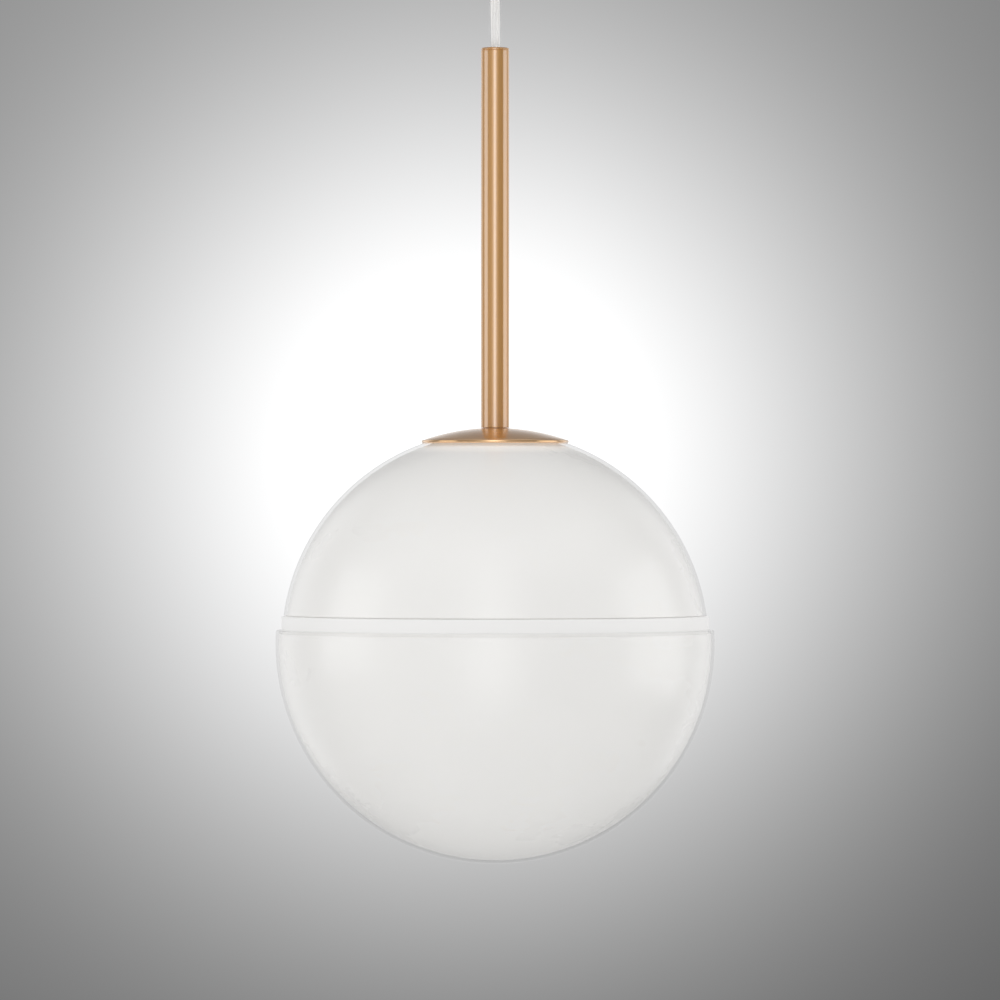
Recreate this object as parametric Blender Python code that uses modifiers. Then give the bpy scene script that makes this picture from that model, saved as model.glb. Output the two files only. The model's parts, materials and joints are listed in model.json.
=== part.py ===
"""Pendant ceiling light: a two-part opal globe under a gold dome cap, on a gold stem and a clear flex.

The origin is on the ceiling face of the fixing bracket, in its middle, with +Z up. Everything else
hangs below it on one vertical axis. Lengths are in metres.
"""

import math

import bmesh
import bpy
from mathutils import Vector

# Fits
GAP = 0.0003  # between two pieces that touch
BOND = 0.0006  # glue line between the collar and the upper glass
SLIDE = 0.0005  # round a piece that slides or turns

# Round pieces
WIDE_STEPS = 36  # sides of the globe, the cap and the canopy: a multiple of the clips' number
SLIM_STEPS = 24  # sides of the stem, the lampholder and the lamp
TINY_STEPS = 12  # sides of screws and rivets

# Ceiling bracket
STRAP_WIDTH = 0.020
STRAP_SHEET = 0.0015
STRAP_LEG = 0.013
STRAP_BEND = 0.003
SLOT_PLACE = 0.032  # from the middle of the strap to the middle of each fixing slot
SLOT_LENGTH = 0.014
SLOT_RADIUS = 0.0025

# Canopy cup
CUP_RADIUS = 0.050
CUP_DEPTH = 0.025
CUP_WALL = 0.001
CUP_BEND = 0.006
CUP_SCREW_DROP = 0.0085  # from the ceiling to the side screws
SIDE_SCREW_RADIUS = 0.002
SIDE_SCREW_LENGTH = 0.006
SIDE_SCREW_HEAD = 0.0035
SIDE_SCREW_HEAD_HEIGHT = 0.0022

# Cord grip
GRIP_LENGTH = 0.0204
GRIP_FLANGE = 0.009
GRIP_FLANGE_HEIGHT = 0.002
GRIP_SHOULDER = 0.0072
GRIP_SHOULDER_DROP = 0.0012  # from the flange's side down to the shoulder
GRIP_WALL = 0.0012
GRIP_LIP = 0.0008  # wall of the grip at its mouth
GRIP_BELL = 0.001  # how much the mouth opens, so that the flex bends without a corner
GRIP_NECK = 0.006  # how far the threaded neck stands up inside the cup
GRIP_NUT_HEIGHT = 0.003

# Flex
CORD_RADIUS = 0.0034
CORE_RADIUS = 0.0009
CORE_CIRCLE = 0.0016  # from the flex's centre to each core's
CORE_START = 0.0007  # between the flex's cut end and each core
CORE_STRAIGHT = 0.0014  # before a core starts to bend
FREE_CORD = 0.042  # between the cord grip and the stem
SWING_ROOM = 0.001  # left at each end of the free flex, where it bends
CUP_FLEX_PROUD = 0.0005  # how far the flex stands above the grip's neck
FLEX_BELOW_NIPPLE = 0.0015

# Terminal block
BLOCK_LENGTH = 0.027
BLOCK_WIDTH = 0.012
BLOCK_HEIGHT = 0.010
POLE_PITCH = 0.009
WIRE_HOLE = 0.0015
POLE_SCREW_RADIUS = 0.0014
POLE_SCREW_LENGTH = 0.0022
POLE_SCREW_SINK = 0.0014  # of the screw's head below the block's face
BLOCK_SCREW_RADIUS = 0.0013
BLOCK_SCREW_HEAD = 0.0016
LOW_HEAD_HEIGHT = 0.001  # of the pole screws and the block screw
EARTH_SCREW_PLACE = 0.0185
EARTH_SCREW_RADIUS = 0.0018
EARTH_SCREW_HEAD = 0.0032
EARTH_SCREW_HEAD_HEIGHT = 0.0022
WIRE_BITE = 0.002  # how far each core reaches into its pole
EARTH_BITE = 0.0004  # how far the earth lead reaches under its screw's head

# Stem
STEM_RADIUS = 0.008
STEM_WALL = 0.001
STEM_LENGTH = 0.216
STEM_EDGE = 0.0006
BUSH_RECESS = 0.0008
BUSH_LENGTH = 0.014
BUSH_BELL = 0.0016
COUPLER_LENGTH = 0.020
NIPPLE_WALL = 0.0012
NIPPLE_ROOM = 0.0004  # round the flex
NIPPLE_ABOVE_CAP = 0.016
NIPPLE_BELOW_NUT = 0.0013

# Dome cap
CAP_RADIUS = 0.042
CAP_WALL = 0.001
CAP_RISE = 0.0025  # how much larger the dome's curve is than the glass's
CAP_CORNER = 0.0012
CAP_EDGE = 0.0003
CAP_OFF_GLASS = 0.0006

# Globe
BOWL_RADIUS = 0.125
GLASS = 0.003
SEAT_RADIUS = 0.026  # flat ground on top of the upper glass
SEAT_CLEARANCE = 0.0008
GLASS_HOLE = 0.007
UPPER_RIM = 0.016  # above the globe's centre
LOWER_RIM = 0.008

# Collar and its clips
COLLAR_TOP = 0.022
COLLAR_WALL = 0.0016
COLLAR_BAND_PROUD = 0.0012  # past the edge of the upper glass
COLLAR_SKIRT = 0.008  # how deep the collar reaches into the bowl
CLIP_COUNT = 3
CLIP_WIDTH = 0.010
CLIP_SHEET = 0.0005
CLIP_HEAD = 0.0006  # from the collar's flange to the clip's top
CLIP_TAIL = 0.010  # below the collar's foot
CLIP_BULGE = 0.0016
CLIP_TUCK = 0.001  # how far the tail turns back in
RIVET_RADIUS = 0.0012
RIVET_HEAD = 0.0022
RIVET_HEAD_HEIGHT = 0.0008
RIVET_RISE = 0.0045  # above the collar's foot

# Clamp under the glass
GASKET_SHEET = 0.0012
GASKET_BORE = 0.009
GASKET_EDGE = 0.004  # how far the gaskets stay inside the ground seat
PLATE_RADIUS = 0.024
PLATE_SHEET = 0.0015
NUT_FLATS_PAST_NIPPLE = 0.002
NUT_HEIGHT = 0.003

# Lampholder
HOLDER_RADIUS = 0.0195
HOLDER_WALL = 0.0013
HOLDER_TOP = 0.012
HOLDER_TOP_SHEET = 0.002
HOLDER_TOP_EDGE = 0.001
HOLDER_SHOULDER = 0.0125
HOLDER_CAP_HEIGHT = 0.0222
HOLDER_BODY_HEIGHT = 0.0317
HOLDER_MOUTH_EDGE = 0.0015
TAG_RADIUS = 0.0105
TAG_SHEET = 0.0008
BASE_HEIGHT = 0.005
BASE_HOLE_CIRCLE = 0.009
CONTACT_WIDTH = 0.005
CONTACT_SHEET = 0.0004
CONTACT_TIP_RISE = 0.0012
SHELL_SHEET = 0.0006
SHELL_HEIGHT = 0.025
SHELL_DROP = 0.0037  # from the top of the holder's body

# Lamp
LAMP_THREAD_RADIUS = 0.0132
LAMP_TIP_DROP = 0.0057  # from the top of the holder's body
LAMP_TIP_RADIUS = 0.0045
LAMP_TIP_HEIGHT = 0.0012
LAMP_CONE_HEIGHT = 0.0027
LAMP_CONE_FOOT = 0.0017  # from the cone's edge to the thread's outside
LAMP_CAP_EDGE = 0.001
LAMP_CAP_HEIGHT = 0.0215
LAMP_NECK = 0.0004  # how much wider the body starts than the thread
LAMP_BODY_HEIGHT = 0.030
LAMP_BALL_RADIUS = 0.030
LAMP_BALL_WALL = 0.001
LAMP_BALL_MOUTH = 0.0198
LED_BOARD_RADIUS = 0.016
LED_BOARD_SHEET = 0.0012

# Places along the axis, from the ceiling down
cup_rim_z = -GAP
cup_floor_z = cup_rim_z - CUP_DEPTH
cup_inside_z = cup_floor_z + CUP_WALL
grip_top_z = cup_floor_z - GAP
grip_mouth_z = grip_top_z - GRIP_LENGTH
cup_flex_top_z = cup_inside_z + GRIP_NECK + CUP_FLEX_PROUD
stem_top_z = grip_mouth_z - FREE_CORD
stem_foot_z = stem_top_z - STEM_LENGTH
cap_crest_z = stem_foot_z - GAP

# Radii that follow from others
cord_bore = CORD_RADIUS + SLIDE
grip_neck_radius = cord_bore + GRIP_WALL
stem_bore = STEM_RADIUS - STEM_WALL
nipple_bore = CORD_RADIUS + NIPPLE_ROOM
nipple_radius = nipple_bore + NIPPLE_WALL
nipple_hole = nipple_radius + GAP
nut_flats = 2 * (nipple_radius + NUT_FLATS_PAST_NIPPLE)
upper_radius = BOWL_RADIUS - GLASS - SLIDE
upper_inside = upper_radius - GLASS
bowl_inside = BOWL_RADIUS - GLASS
cap_curve = upper_radius + CAP_RISE
holder_bore = LAMP_THREAD_RADIUS + SLIDE + SHELL_SHEET + GAP


def rise(radius, across):
    """Height of a ball's surface above its centre, at a distance from its axis."""
    return math.sqrt(radius**2 - across**2)


# The glass hangs from its seat, and the lampholder from the clamp
dome_sag_z = cap_crest_z - (cap_curve - rise(cap_curve, SEAT_RADIUS))
seat_z = dome_sag_z - CAP_WALL - SEAT_CLEARANCE
globe_z = seat_z - rise(upper_radius, SEAT_RADIUS)
cap_foot_z = globe_z + rise(upper_radius, CAP_RADIUS) + CAP_OFF_GLASS
under_seat_z = seat_z - GLASS
plate_z = under_seat_z - GAP - GASKET_SHEET - GAP
clamp_nut_z = plate_z - PLATE_SHEET - GAP
holder_z = clamp_nut_z - NUT_HEIGHT - GAP
tag_z = holder_z - HOLDER_TOP_SHEET - GAP
lock_nut_z = tag_z - TAG_SHEET - GAP
nipple_foot_z = lock_nut_z - NUT_HEIGHT - NIPPLE_BELOW_NUT
stem_flex_foot_z = nipple_foot_z - FLEX_BELOW_NIPPLE
holder_cap_foot_z = holder_z - HOLDER_CAP_HEIGHT
base_z = holder_cap_foot_z + BASE_HEIGHT
holder_body_z = holder_cap_foot_z - GAP
lamp_tip_z = holder_body_z - LAMP_TIP_DROP
lamp_cone_z = lamp_tip_z - LAMP_TIP_HEIGHT - GAP
lamp_cap_z = lamp_cone_z - LAMP_CONE_HEIGHT - GAP
lamp_body_z = lamp_cap_z - LAMP_CAP_HEIGHT - GAP
lamp_ball_rim_z = lamp_body_z - LAMP_BODY_HEIGHT - GAP
lamp_ball_z = lamp_ball_rim_z - rise(LAMP_BALL_RADIUS, LAMP_BALL_MOUTH)

# Colour, metallic, roughness
FINISHES = {
    "satin_gold": ((0.66, 0.46, 0.25), 1.0, 0.30),
    "opal_glass": ((0.83, 0.82, 0.80), 0.0, 0.10),
    "clear_plastic": ((0.80, 0.80, 0.78), 0.0, 0.15),
    "clear_sheath": ((0.75, 0.76, 0.76), 0.0, 0.20),
    "zinc_steel": ((0.60, 0.61, 0.62), 1.0, 0.35),
    "brass": ((0.72, 0.52, 0.26), 1.0, 0.30),
    "spring_steel": ((0.55, 0.55, 0.56), 1.0, 0.25),
    "white_rubber": ((0.75, 0.75, 0.73), 0.0, 0.60),
    "white_plastic": ((0.80, 0.80, 0.78), 0.0, 0.40),
    "white_ceramic": ((0.82, 0.81, 0.77), 0.0, 0.25),
    "black_glass": ((0.02, 0.02, 0.02), 0.0, 0.10),
    "brown_core": ((0.17, 0.07, 0.03), 0.0, 0.40),
    "blue_core": ((0.03, 0.12, 0.42), 0.0, 0.40),
    "green_core": ((0.10, 0.36, 0.06), 0.0, 0.40),
    "board_white": ((0.85, 0.85, 0.85), 0.0, 0.45),
}

pieces = bpy.data.collections.new("pendant_ceiling_light")
cutters = bpy.data.collections.new("cutters")
pivots = {}


def clear_scene():
    for obj in list(bpy.data.objects):
        bpy.data.objects.remove(obj, do_unlink=True)
    for collection in (pieces, cutters):
        bpy.context.scene.collection.children.link(collection)
    cutters.hide_render = True


def finish(name):
    """The material of that name, made when it is first asked for."""
    made = bpy.data.materials.get(name)
    if made:
        return made
    colour, metallic, roughness = FINISHES[name]
    made = bpy.data.materials.new(name)
    made.use_nodes = True
    shader = made.node_tree.nodes["Principled BSDF"]
    shader.inputs["Base Color"].default_value = (*colour, 1.0)
    shader.inputs["Metallic"].default_value = metallic
    shader.inputs["Roughness"].default_value = roughness
    return made


def add_pivot(name, z, parent=None):
    """An empty on a joint's axis, which the pieces that move about it hang from."""
    empty = bpy.data.objects.new(name, None)
    pieces.objects.link(empty)
    empty.parent = pivots.get(parent)
    empty.location = (0, 0, z - (pivots[parent]["z"] if parent else 0))
    empty["z"] = z
    pivots[name] = empty


def put(obj, pivot, material, at, turn=(0.0, 0.0, 0.0)):
    """Hangs a piece from its pivot, at a place and a turn given in the whole light's frame."""
    pieces.objects.link(obj)
    obj.data.materials.append(finish(material))
    obj.parent = pivots[pivot]
    obj.location = Vector(at) - Vector((0, 0, pivots[pivot]["z"]))
    obj.rotation_euler = turn
    return obj


def arc(centre, radius, start, stop, count):
    """Points (radius, height) along a round stretch, from one angle to another in degrees."""
    angles = [math.radians(start + (stop - start) * i / (count - 1)) for i in range(count)]
    return [(centre[0] + radius * math.cos(a), centre[1] + radius * math.sin(a)) for a in angles]


def ball_arc(radius, start, stop, count):
    """Points on a ball's outline between two heights from its centre."""
    ends = [math.degrees(math.asin(height / radius)) for height in (start, stop)]
    return arc((0, 0), radius, *ends, count)


def turned(name, profile, steps=SLIM_STEPS):
    """A turned piece. A profile that doesn't start on the axis is a ring, and is closed."""
    mesh = bpy.data.meshes.new(name)
    shape = bmesh.new()
    points = [shape.verts.new((radius, 0, height)) for radius, height in profile]
    ring = profile[0][0] > 0
    for first, second in zip(points, points[1:] + (points[:1] if ring else [])):
        shape.edges.new((first, second))
    shape.to_mesh(mesh)
    shape.free()
    obj = bpy.data.objects.new(name, mesh)
    screw = obj.modifiers.new("turn", "SCREW")
    screw.steps = steps
    screw.render_steps = steps
    screw.use_merge_vertices = True
    screw.merge_threshold = 0.00001
    screw.use_smooth_shade = True
    return obj


def tube_profile(outer, inner, length):
    """A plain tube's profile, hanging down from height 0."""
    return [(inner, 0), (outer, 0), (outer, -length), (inner, -length)]


def strip(name, outline, width, sheet):
    """Bent sheet metal: its outline in X and Z, its width along Y, thickened to the right of its run."""
    mesh = bpy.data.meshes.new(name)
    shape = bmesh.new()
    points = [shape.verts.new((x, width / 2, z)) for x, z in outline]
    edges = [shape.edges.new(pair) for pair in zip(points, points[1:])]
    swept = bmesh.ops.extrude_edge_only(shape, edges=edges)
    far_side = [part for part in swept["geom"] if isinstance(part, bmesh.types.BMVert)]
    bmesh.ops.translate(shape, verts=far_side, vec=(0, -width, 0))
    shape.to_mesh(mesh)
    shape.free()
    obj = bpy.data.objects.new(name, mesh)
    thicken = obj.modifiers.new("sheet", "SOLIDIFY")
    thicken.thickness = sheet
    thicken.offset = -1
    thicken.use_even_offset = True
    return obj


def prism(name, radius, height, sides, sink=0.0):
    """An upright prism or cylinder, its middle sunk below the object's origin."""
    mesh = bpy.data.meshes.new(name)
    shape = bmesh.new()
    bmesh.ops.create_cone(
        shape, cap_ends=True, segments=sides, radius1=radius, radius2=radius, depth=height
    )
    bmesh.ops.translate(shape, verts=shape.verts, vec=(0, 0, -sink))
    shape.to_mesh(mesh)
    shape.free()
    return bpy.data.objects.new(name, mesh)


def block(name, size):
    """A box round the object's origin."""
    mesh = bpy.data.meshes.new(name)
    shape = bmesh.new()
    bmesh.ops.create_cube(shape, size=1.0)
    bmesh.ops.scale(shape, verts=shape.verts, vec=size)
    shape.to_mesh(mesh)
    shape.free()
    return bpy.data.objects.new(name, mesh)


def cut(obj, cutter, at, turn=(0.0, 0.0, 0.0), follow=None):
    """Takes the cutter's shape out of the piece. A cutter that follows a piece is placed in its frame."""
    cutters.objects.link(cutter)
    cutter.parent = follow
    cutter.location = at
    cutter.rotation_euler = turn
    cutter.hide_render = True
    cutter.display_type = "WIRE"
    modifier = obj.modifiers.new(cutter.name, "BOOLEAN")
    modifier.operation = "DIFFERENCE"
    modifier.solver = "EXACT"
    modifier.object = cutter


def drill(obj, label, radius, depth, at, turn=(0.0, 0.0, 0.0)):
    cut(obj, prism(f"{obj.name}_{label}", radius, depth, TINY_STEPS), at, turn)


def smooth_route(points, between=3):
    """A smooth curve through the route's own points, as a Catmull-Rom spline."""
    whole = [Vector(p) for p in points]
    whole = [2 * whole[0] - whole[1], *whole, 2 * whole[-1] - whole[-2]]
    route = []
    for a, b, c, d in zip(whole, whole[1:], whole[2:], whole[3:]):
        for i in range(between):
            t = i / between
            square = (2 * a - 5 * b + 4 * c - d) * t**2
            cube = (3 * b - a - 3 * c + d) * t**3
            route.append(0.5 * (2 * b + (c - a) * t + square + cube))
    return [*route, whole[-2]]


def wire(name, route, radius, resolution=2):
    """A round wire or flex along a route."""
    curve = bpy.data.curves.new(name, "CURVE")
    curve.dimensions = "3D"
    spline = curve.splines.new("POLY")
    spline.points.add(len(route) - 1)
    for point, place in zip(spline.points, route):
        point.co = (*place, 1.0)
    curve.bevel_depth = radius
    curve.bevel_resolution = resolution
    curve.use_fill_caps = True
    return bpy.data.objects.new(name, curve)


def slotted_screw(name, radius, length, head_radius, head_height):
    """A screw with its shank along -Z, its head above the origin and a slot across the head."""
    obj = turned(
        name,
        [
            (0, head_height),
            (0.6 * head_radius, head_height),
            (head_radius, 0.6 * head_height),
            (head_radius, 0),
            (radius, 0),
            (radius, -length),
            (0, -length),
        ],
        TINY_STEPS,
    )
    slot = block(f"{name}_slot", (3 * head_radius, 0.2 * head_radius, 0.8 * head_height))
    cut(obj, slot, (0, 0, head_height), follow=obj)
    return obj


def hex_nut(name, flats, height, bore):
    """A nut that hangs down from its origin."""
    obj = prism(name, flats / 2 / math.cos(math.pi / 6), height, 6, sink=height / 2)
    cut(obj, prism(f"{name}_bore", bore, 3 * height, SLIM_STEPS), (0, 0, 0), follow=obj)
    return obj


def make_bracket():
    """The strap lies flat on the ceiling and its legs stand just inside the cup."""
    leg_x = rise(CUP_RADIUS - CUP_WALL, STRAP_WIDTH / 2) - 2 * GAP
    bend_x = leg_x - STRAP_BEND
    left_bend = arc((-bend_x, -STRAP_BEND), STRAP_BEND, 180, 90, 4)
    right_bend = arc((bend_x, -STRAP_BEND), STRAP_BEND, 90, 0, 4)
    outline = [(-leg_x, -STRAP_LEG), *left_bend, *right_bend, (leg_x, -STRAP_LEG)]
    bracket = strip("ceiling_bracket", outline, STRAP_WIDTH, STRAP_SHEET)
    put(bracket, "ceiling", "zinc_steel", (0, 0, 0))
    deep = 4 * STRAP_SHEET
    for side, label in ((-1, "left"), (1, "right")):
        slot = block(f"slot_{label}", (SLOT_LENGTH, 2 * SLOT_RADIUS, deep))
        cut(bracket, slot, (side * SLOT_PLACE, 0, -STRAP_SHEET / 2))
        at = (side * leg_x, 0, -CUP_SCREW_DROP)
        drill(bracket, f"leg_{label}", SIDE_SCREW_RADIUS + GAP, deep, at, (0, math.pi / 2, 0))
    at = (POLE_PITCH / 2, 0, -STRAP_SHEET / 2)
    drill(bracket, "block_hole", BLOCK_SCREW_RADIUS + GAP, deep, at)
    at = (EARTH_SCREW_PLACE, 0, -STRAP_SHEET / 2)
    drill(bracket, "earth_hole", EARTH_SCREW_RADIUS + GAP, deep, at)


def make_cup():
    """Spun cup, open to the ceiling, with the cord grip's hole in its floor."""
    inside = CUP_RADIUS - CUP_WALL
    hole = grip_neck_radius + GAP
    floor = -CUP_DEPTH
    outer_bend = arc((CUP_RADIUS - CUP_BEND, floor + CUP_BEND), CUP_BEND, 0, -90, 4)
    inner_bend = arc((CUP_RADIUS - CUP_BEND, floor + CUP_BEND), CUP_BEND - CUP_WALL, -90, 0, 4)
    floor_edge = [(hole, floor), (hole, floor + CUP_WALL)]
    profile = [(inside, 0), (CUP_RADIUS, 0), *outer_bend, *floor_edge, *inner_bend]
    cup = turned("canopy_cup", profile, WIDE_STEPS)
    put(cup, "ceiling", "satin_gold", (0, 0, cup_rim_z))
    for side, label in ((-1, "left"), (1, "right")):
        at = (side * CUP_RADIUS, 0, -CUP_SCREW_DROP)
        drill(cup, f"side_{label}", SIDE_SCREW_RADIUS + GAP, 6 * CUP_WALL, at, (0, math.pi / 2, 0))
        screw = slotted_screw(
            f"canopy_screw_{label}",
            SIDE_SCREW_RADIUS,
            SIDE_SCREW_LENGTH,
            SIDE_SCREW_HEAD,
            SIDE_SCREW_HEAD_HEIGHT,
        )
        at = (side * (CUP_RADIUS + GAP), 0, -CUP_SCREW_DROP)
        put(screw, "ceiling", "satin_gold", at, (0, side * math.pi / 2, 0))


def make_cord_grip():
    """Tapered cord grip: a threaded neck through the cup's floor, a flange, and a slim tail."""
    mouth = cord_bore + GRIP_BELL
    neck_top = cup_inside_z + GRIP_NECK - grip_top_z
    shoulder = -GRIP_FLANGE_HEIGHT - GRIP_SHOULDER_DROP
    profile = [
        (cord_bore, neck_top),
        (grip_neck_radius, neck_top),
        (grip_neck_radius, 0),
        (GRIP_FLANGE, 0),
        (GRIP_FLANGE, -GRIP_FLANGE_HEIGHT),
        (GRIP_SHOULDER, shoulder),
        (mouth + GRIP_LIP, GRIP_BELL - GRIP_LENGTH),
        (mouth + 0.4 * GRIP_LIP, -GRIP_LENGTH),
        (mouth, -GRIP_LENGTH),
        (cord_bore, 2 * GRIP_BELL - GRIP_LENGTH),
    ]
    put(turned("cord_grip", profile), "ceiling", "clear_plastic", (0, 0, grip_top_z))
    nut = hex_nut("cord_grip_nut", 2 * GRIP_SHOULDER, GRIP_NUT_HEIGHT, grip_neck_radius + GAP)
    put(nut, "ceiling", "white_plastic", (0, 0, cup_inside_z + GAP + GRIP_NUT_HEIGHT))


def make_terminal_block():
    """Three-pole block under the strap, with its pole screws from below."""
    top = -STRAP_SHEET - GAP
    middle = top - BLOCK_HEIGHT / 2
    body = block("terminal_block", (BLOCK_LENGTH, BLOCK_WIDTH, BLOCK_HEIGHT))
    put(body, "ceiling", "white_plastic", (0, 0, middle))
    well = BLOCK_HEIGHT / 2
    for place, label in ((-1, "live"), (0, "neutral"), (1, "earth")):
        x = place * POLE_PITCH
        drill(body, f"wire_{label}", WIRE_HOLE, 2 * BLOCK_WIDTH, (x, 0, middle), (math.pi / 2, 0, 0))
        head_room = (x, 0, middle - well)
        drill(body, f"well_{label}", POLE_SCREW_RADIUS + GAP, 2 * well, head_room)
        screw = slotted_screw(
            f"terminal_screw_{label}",
            0.9 * POLE_SCREW_RADIUS,
            POLE_SCREW_LENGTH,
            POLE_SCREW_RADIUS,
            LOW_HEAD_HEIGHT,
        )
        put(screw, "ceiling", "brass", (x, 0, middle - well + POLE_SCREW_SINK), (math.pi, 0, 0))
    bolt_x = POLE_PITCH / 2
    drill(body, "bolt", BLOCK_SCREW_RADIUS + GAP, 2 * BLOCK_HEIGHT, (bolt_x, 0, middle))
    bolt_length = BLOCK_HEIGHT + GAP
    bolt = slotted_screw("block_screw", BLOCK_SCREW_RADIUS, bolt_length, BLOCK_SCREW_HEAD, LOW_HEAD_HEIGHT)
    put(bolt, "ceiling", "zinc_steel", (bolt_x, 0, top - BLOCK_HEIGHT - GAP), (math.pi, 0, 0))


def make_ceiling_wiring():
    """The flex in the cord grip, its cores up to the block, and the earth lead on to the strap."""
    route = [(0, 0, grip_mouth_z + SWING_ROOM), (0, 0, cup_flex_top_z)]
    put(wire("cup_flex", route, CORD_RADIUS, 4), "ceiling", "clear_sheath", (0, 0, 0))
    block_z = -STRAP_SHEET - GAP - BLOCK_HEIGHT / 2
    start_z = cup_flex_top_z + CORE_START
    face = BLOCK_WIDTH / 2
    fan = (
        (-1, "live", "brown_core", 210),
        (0, "neutral", "blue_core", 90),
        (1, "earth", "green_core", 330),
    )
    for place, label, material, angle in fan:
        x = CORE_CIRCLE * math.cos(math.radians(angle))
        y = CORE_CIRCLE * math.sin(math.radians(angle))
        pole_x = place * POLE_PITCH
        route = smooth_route(
            [
                (x, y, start_z),
                (x, y, start_z + CORE_STRAIGHT),
                (0.3 * pole_x, y - 0.0020, start_z + 0.0032),
                (0.7 * pole_x, -face - 0.0020, start_z + 0.0042),
                (pole_x, -face - 0.0052, block_z - 0.0030),
                (pole_x, -face - 0.0030, block_z),
                (pole_x, WIRE_BITE - face, block_z),
            ]
        )
        put(wire(f"{label}_core", route, CORE_RADIUS), "ceiling", material, (0, 0, 0))
    head_z = -STRAP_SHEET - GAP
    screw = slotted_screw(
        "earth_screw", EARTH_SCREW_RADIUS, STRAP_SHEET, EARTH_SCREW_HEAD, EARTH_SCREW_HEAD_HEIGHT
    )
    put(screw, "ceiling", "brass", (EARTH_SCREW_PLACE, 0, head_z), (math.pi, 0, 0))
    under_head = (
        EARTH_SCREW_PLACE,
        EARTH_SCREW_HEAD + CORE_RADIUS - EARTH_BITE + GAP,
        head_z - CORE_RADIUS - GAP,
    )
    route = smooth_route(
        [
            (POLE_PITCH, face - WIRE_BITE, block_z),
            (POLE_PITCH, face + 0.0028, block_z),
            (0.6 * POLE_PITCH + 0.4 * EARTH_SCREW_PLACE, face + 0.0050, block_z - 0.0010),
            (EARTH_SCREW_PLACE, face + 0.0025, block_z + 0.0015),
            under_head,
        ]
    )
    put(wire("earth_lead", route, CORE_RADIUS), "ceiling", "green_core", (0, 0, 0))


def make_supply_cord():
    """The free flex, straight and taut, a point every two diameters."""
    top = grip_mouth_z - SWING_ROOM
    foot = stem_top_z + SWING_ROOM
    runs = 4
    route = [(0, 0, top + (foot - top) * i / runs) for i in range(runs + 1)]
    put(wire("supply_cord", route, CORD_RADIUS, 4), "flex_pivot", "clear_sheath", (0, 0, 0))


def make_stem():
    """The stem with its bush at the top, its coupler at the foot and the flex through it."""
    profile = [
        (stem_bore, -STEM_EDGE / 2),
        (stem_bore + STEM_EDGE / 2, 0),
        (STEM_RADIUS - STEM_EDGE, 0),
        (STEM_RADIUS - 0.3 * STEM_EDGE, -0.3 * STEM_EDGE),
        (STEM_RADIUS, -STEM_EDGE),
        (STEM_RADIUS, -STEM_LENGTH),
        (stem_bore, -STEM_LENGTH),
    ]
    put(turned("stem_tube", profile), "lamp_pivot", "satin_gold", (0, 0, stem_top_z))
    bush_radius = stem_bore - GAP
    profile = [
        (cord_bore + BUSH_BELL, 0),
        (bush_radius, 0),
        (bush_radius, -BUSH_LENGTH),
        (cord_bore, -BUSH_LENGTH),
        (cord_bore, -2 * BUSH_BELL),
        (cord_bore + 0.3 * BUSH_BELL, -BUSH_BELL),
    ]
    put(turned("stem_bush", profile), "bush_pivot", "white_plastic", (0, 0, stem_top_z - BUSH_RECESS))
    coupler_z = stem_foot_z + COUPLER_LENGTH
    profile = tube_profile(stem_bore - GAP, nipple_hole, COUPLER_LENGTH - GAP)
    put(turned("stem_coupler", profile), "lamp_pivot", "brass", (0, 0, coupler_z))
    nipple_z = cap_crest_z + NIPPLE_ABOVE_CAP
    profile = tube_profile(nipple_radius, nipple_bore, nipple_z - nipple_foot_z)
    put(turned("threaded_nipple", profile), "lamp_pivot", "zinc_steel", (0, 0, nipple_z))
    route = [(0, 0, stem_top_z - SWING_ROOM / 2), (0, 0, stem_flex_foot_z)]
    put(wire("stem_flex", route, CORD_RADIUS, 4), "lamp_pivot", "clear_sheath", (0, 0, 0))


def dome(curve, start, stop, count):
    """A shallow dome's outline between two radii, its crest at height 0."""
    points = ball_arc(curve, rise(curve, start), rise(curve, stop), count)
    return [(radius, height - curve) for radius, height in points]


def make_cap():
    """Dome that follows the glass, with an upright lip round its edge."""
    foot = cap_foot_z - cap_crest_z
    lip_inside = CAP_RADIUS - CAP_WALL
    dome_edge = CAP_RADIUS - CAP_CORNER
    top = dome(cap_curve, nipple_hole, dome_edge, 6)
    bottom = dome(cap_curve, lip_inside - CAP_EDGE, nipple_hole, 6)
    underside = [(radius, height - CAP_WALL) for radius, height in bottom]
    corner_z = top[-1][1]
    profile = [
        *top,
        (CAP_RADIUS - 0.3 * CAP_CORNER, corner_z - 0.3 * CAP_CORNER),
        (CAP_RADIUS, corner_z - CAP_CORNER),
        (CAP_RADIUS, foot + CAP_EDGE),
        (CAP_RADIUS - CAP_EDGE, foot),
        (lip_inside, foot),
        *underside,
    ]
    put(turned("dome_cap", profile, WIDE_STEPS), "lamp_pivot", "satin_gold", (0, 0, cap_crest_z))


def make_gaskets():
    """One gasket fills the wedge between the cap and the glass, one lies flat under the glass."""
    edge = SEAT_RADIUS - GASKET_EDGE
    foot = seat_z + GAP - cap_crest_z
    top = dome(cap_curve, GASKET_BORE, edge, 3)
    under_cap = [(radius, height - CAP_WALL - GAP) for radius, height in top]
    profile = [*under_cap, (edge, foot), (GASKET_BORE, foot)]
    put(turned("cap_gasket", profile), "lamp_pivot", "white_rubber", (0, 0, cap_crest_z))
    profile = tube_profile(PLATE_RADIUS, GASKET_BORE, GASKET_SHEET)
    shade_gasket = turned("shade_gasket", profile)
    put(shade_gasket, "lamp_pivot", "white_rubber", (0, 0, under_seat_z - GAP))


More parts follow.
